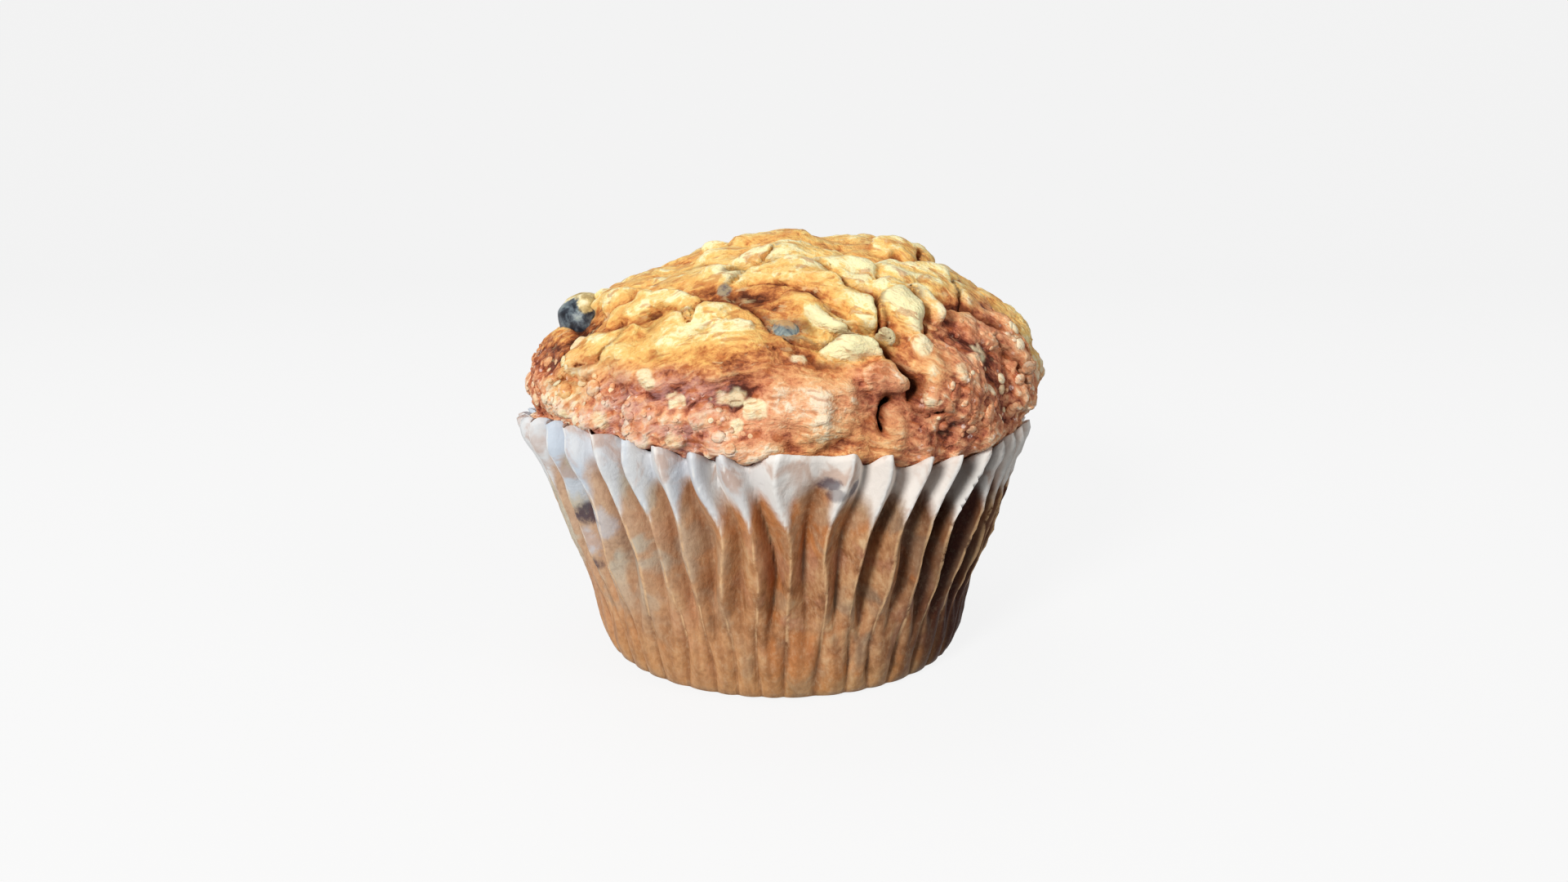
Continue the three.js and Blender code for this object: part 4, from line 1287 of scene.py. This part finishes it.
def paper_material():
    material, g = new_material("greaseproof_paper")
    place = g.wire("ShaderNodeTexCoord", None, None, "Object")
    fold, share, spread = g.attributes("fold", "share", "spread")
    side = g.parts(place)[0]
    blotch = g.noise(place, 200, 4, 0.55, (1, 1, 0.8), 0.5)
    mottle = g.noise(place, 520, 4, 0.6, (1, 1, 0.8), 0.4)
    fibre = g.noise(place, 1700, 3, 0.65, (1, 1, 0.6))
    edge = g.noise(place, 130, 2, 0.5, (1, 1, 0.15))
    below = (1.0 - share) * CASE_H
    fang = (1.0 - fold) ** 1.7
    dry_to = fang * 6.2 + 3.4 + (edge - 0.5) * 5.5 + (mottle - 0.5) * 2.4 + (blotch - 0.5) * 4.0
    dry = g.step(below - dry_to, 2.0, -1.4)
    soften = (mottle - 0.5) * 1.2 + (fibre - 0.5) * 0.4
    dry = dry.math("MAXIMUM", spot_mask(g, place, PAPER_DRY, soften))
    warm = g.noise(place, 120, 3, 0.5, warp=0.5)
    cool = g.noise(place, 145, 3, 0.5, (1, 1, 0.9), 0.5)
    # Painted light: the browned paper is paler and greyer on the left.
    left = g.step(side, -3 * MM, -24 * MM) * g.step(share, 0.15, 0.6)
    browned = g.layered(g.ramp(blotch * 0.5 + mottle * 0.5, [
        (0.32, (96, 58, 34)),
        (0.42, (140, 92, 58)),
        (0.50, (178, 126, 86)),
        (0.58, (200, 152, 108)),
        (0.68, (222, 190, 148)),
    ]), [
        (g.step(warm, 0.5, 0.64) * 0.6, (198, 118, 58)),
        (g.step(cool, 0.52, 0.64) * 0.55, (160, 140, 116)),
        (g.step(cool, 0.46, 0.36) * 0.45, (196, 138, 112)),
        (g.step(share, 0.22, 0.0) * 0.4, (204, 162, 104)),
        # Painted light: paler towards the left.
        (g.step(side, 8 * MM, -12 * MM) * 0.5, (218, 158, 106)),
        (left * 0.6, (200, 178, 156)),
        (left * g.step(cool, 0.5, 0.6) * 0.6, (202, 206, 192)),
    ])
    # Dry paper: white with painted light, cool blue on the left and warm on the right.
    white = g.layered(g.blend(g.step(side, -22 * MM, 8 * MM), (204, 214, 226), (238, 230, 222)), [
        (g.step(edge, 0.45, 0.6) * 0.6, (238, 235, 230)),
        (g.step(blotch, 0.5, 0.36) * 0.65, (194, 154, 130)),
    ])
    greasy = 1.0 - dry
    # Painted shade over the right side of the case, deepest in its pleat valleys.
    right_shade = g.step(side, 10 * MM, 25 * MM)
    # Painted shade in the pleat valleys, stronger on the right side.
    valley = g.step(fold + right_shade * 0.45, 0.58, 0.95)
    valley = valley * mix(0.55, 1.0, g.step(share + right_shade * 0.3, 0.3, 0.6))
    # Painted shade in the narrow creases near the foot.
    crease = g.step(fold, 0.26, 0.02) * g.step(share, 0.5, 0.2)
    shaded = valley * mix(0.45, 1.0, right_shade) + crease * 0.6
    # Painted highlight: a thin bright line along each outer fold.
    ridge_highlight = g.step(fold - right_shade * 0.04, 0.13, 0.0) * g.step(share, 0.1, 0.35)
    ridge_highlight = ridge_highlight * g.step(mottle, 0.34, 0.5)
    colour = g.layered(browned, [
        (dry, white),
        # Painted shade in valleys and creases: brown on the left, near black on the right.
        (shaded * (1.0 - dry * (0.75 - right_shade * 0.4)), g.blend(right_shade, (112, 64, 34), (46, 12, 10))),
        # Painted shade over the right side.
        (right_shade * mix(0.72, 0.97, g.step(fold, 0.15, 0.6)) * greasy, (50, 15, 4)),
        (ridge_highlight * 0.85, g.blend(dry, (244, 200, 150), (250, 248, 244))),
        (spot_mask(g, place, PAPER_JUICE, soften) * 0.9, (58, 48, 70)),
        (g.step(fibre, 0.48, 0.7) * 0.18 * greasy * (1.0 - right_shade * 0.8), (238, 210, 172)),
        (g.step(fibre, 0.5, 0.34) * 0.2 * greasy, (110, 72, 46)),
    ])
    relief = fibre * 0.4 + mottle * 1.2
    finish_material(g, {
        "Base Color": g.blend(1.0 - spread, colour, (176, 128, 92)),
        "Roughness": 0.62 - greasy * (0.16 - right_shade * 0.14),
        "Normal": bumped(g, relief, 0.5, 0.3),
        "Specular IOR Level": 0.12,
    })
    return material


def make_berry(name, turn, tilt, radius, out, covered):
    """Berry with a slack skin; covered tells how much batter has baked on to it."""
    point, normal = cap_point(turn, tilt)
    shape = bmesh.new()
    bmesh.ops.create_icosphere(shape, subdivisions=5, radius=1.0)
    mesh = bpy.data.meshes.new(name)
    shape.to_mesh(mesh)
    shape.free()
    ball = points_of(mesh) * MM
    drawn = ball * radius + point
    slack = 0.06 * LATTICE.soft(drawn, 2.0) + 0.03 * LATTICE.soft(drawn + 9, 0.9)
    squat = 1.0 - 0.06 * np.abs(ball @ normal)
    batter = step(ball[:, 2] + 0.45 * LATTICE.soft(drawn + 4, 2.4) + covered - 1.0, 0.0, 0.5)
    under = step(-ball[:, 2] + 0.3 * LATTICE.soft(drawn + 4, 1.6) - 0.5, 0.0, 0.25)
    batter = np.maximum(batter, under)
    if covered < 0:
        facing = normal + UP * 0.12
        seen = (ball @ facing) / np.linalg.norm(facing)
        batter = 0.75 * step(seen + 0.16 * LATTICE.soft(drawn + 2, 1.1), 0.84, 0.62)
        over = step(ball[:, 2] + 0.2 * LATTICE.soft(drawn, 1.2), 0.35, 1.15)
        batter = np.maximum(batter, 0.8 * over)
    lifted = 0.05 * batter * (1 + LATTICE.soft(drawn + 6, 1.1))
    grown = ball * (radius * (squat + slack + lifted))[:, None] + point + normal * (out - radius)
    mesh.vertices.foreach_set("co", (grown * MM).astype(np.float32).ravel())
    mesh.update()
    set_attribute(mesh, "batter", batter)
    set_attribute(mesh, "waxy", 0.1 * (covered < 0) * step(ball[:, 2], -0.3, 0.4))
    return new_piece(name + "_fruit", mesh)


def berry_material():
    material, g = new_material("berry_skin")
    place = g.wire("ShaderNodeTexCoord", None, None, "Object")
    batter, waxy = g.attributes("batter", "waxy")
    bloom = g.noise(place, 480, 3, 0.62, warp=0.6)
    pores = g.noise(place, 1500, 3, 0.6)
    skin = g.ramp(bloom * 0.7 + pores * 0.3 + waxy, [
        (0.36, (18, 20, 26)),
        (0.46, (44, 50, 60)),
        (0.56, (96, 108, 116)),
        (0.66, (140, 152, 148)),
        (0.80, (186, 192, 180)),
    ])
    cover = g.ramp(bloom, [
        (0.38, (176, 150, 96)),
        (0.50, (226, 204, 146)),
        (0.62, (250, 240, 200)),
    ])
    cover = g.blend(waxy * 9.0, cover, (190, 146, 94))
    film = g.step(batter + (pores - 0.5) * 0.8, 0.3, 0.7)
    finish_material(g, {
        "Base Color": g.blend(film, skin, cover),
        "Roughness": mix(0.42, 0.65, film),
        "Normal": bumped(g, pores * 0.6 + bloom, 0.55, 0.3),
        "Specular IOR Level": 0.4,
    })
    return material


def make_stage():
    """Pale floor that curves up into a backdrop."""
    profile = [(-FLOOR_HALF, 0.0), (FLOOR_BACK - FLOOR_BEND, 0.0)]
    for k in range(1, FLOOR_STEPS + 1):
        a = math.pi / 2 * k / FLOOR_STEPS
        back = FLOOR_BACK - FLOOR_BEND + FLOOR_BEND * math.sin(a)
        profile.append((back, FLOOR_BEND - FLOOR_BEND * math.cos(a)))
    profile.append((FLOOR_BACK, FLOOR_TOP))
    verts = [(x, y, z) for y, z in profile for x in (-FLOOR_HALF, FLOOR_HALF)]
    faces = [(2 * k, 2 * k + 1, 2 * k + 3, 2 * k + 2) for k in range(len(profile) - 1)]
    mesh = bpy.data.meshes.new("studio_floor")
    mesh.from_pydata(verts, [], faces)
    floor = new_piece("studio_floor", mesh)
    material, g = new_material("pale_floor")
    finish_material(g, {
        "Base Color": (0.1, 0.1, 0.1, 1.0),
        "Roughness": 0.9,
        "Specular IOR Level": 0.0,
        "Emission Color": (1.0, 1.0, 1.0, 1.0),
        "Emission Strength": FLOOR_BRIGHT,
    })
    mesh.materials.append(material)
    floor.visible_diffuse = False


def make_lights():
    for name, place, wide, watts, colour in LIGHTS:
        data = bpy.data.lights.new(name, "AREA")
        data.shape = "DISK"
        data.size = wide
        data.energy = watts
        data.color = colour
        lamp = bpy.data.objects.new(name, data)
        lamp.location = place
        lamp.rotation_euler = (Vector(LIT_AT) - Vector(place)).to_track_quat("-Z", "Y").to_euler()
        bpy.context.scene.collection.objects.link(lamp)
    world = bpy.data.worlds.new("studio_air")
    bpy.context.scene.world = world
    world.use_nodes = True
    back = world.node_tree.nodes["Background"]
    back.inputs["Color"].default_value = (1.0, 1.0, 1.0, 1.0)
    back.inputs["Strength"].default_value = AIR_BRIGHT
    bpy.context.scene.view_settings.view_transform = "Standard"


def make_camera():
    data = bpy.data.cameras.new("camera")
    data.sensor_width = SENSOR
    data.lens = LENS
    data.clip_start = 0.01
    data.shift_x = SHIFT
    camera = bpy.data.objects.new("camera", data)
    camera.location = CAMERA_AT
    camera.rotation_euler = (math.radians(CAMERA_TILT), 0.0, 0.0)
    bpy.context.scene.collection.objects.link(camera)
    bpy.context.scene.camera = camera


make_camera()

cake = make_cake()
crust = crust_material()
cake.data.materials.append(crust)
grains = make_pearls(cake, crust)
for piece in (cake, grains):
    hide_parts("cake")
    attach(piece, "root")

paper = make_paper(paper_material())
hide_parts("paper_case")
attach(paper, "root")

skin = berry_material()
for berry_row in BERRIES:
    berry = make_berry(*berry_row)
    berry.data.materials.append(skin)
    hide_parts(berry_row[0])
    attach(berry, "root")

make_stage()
make_lights()
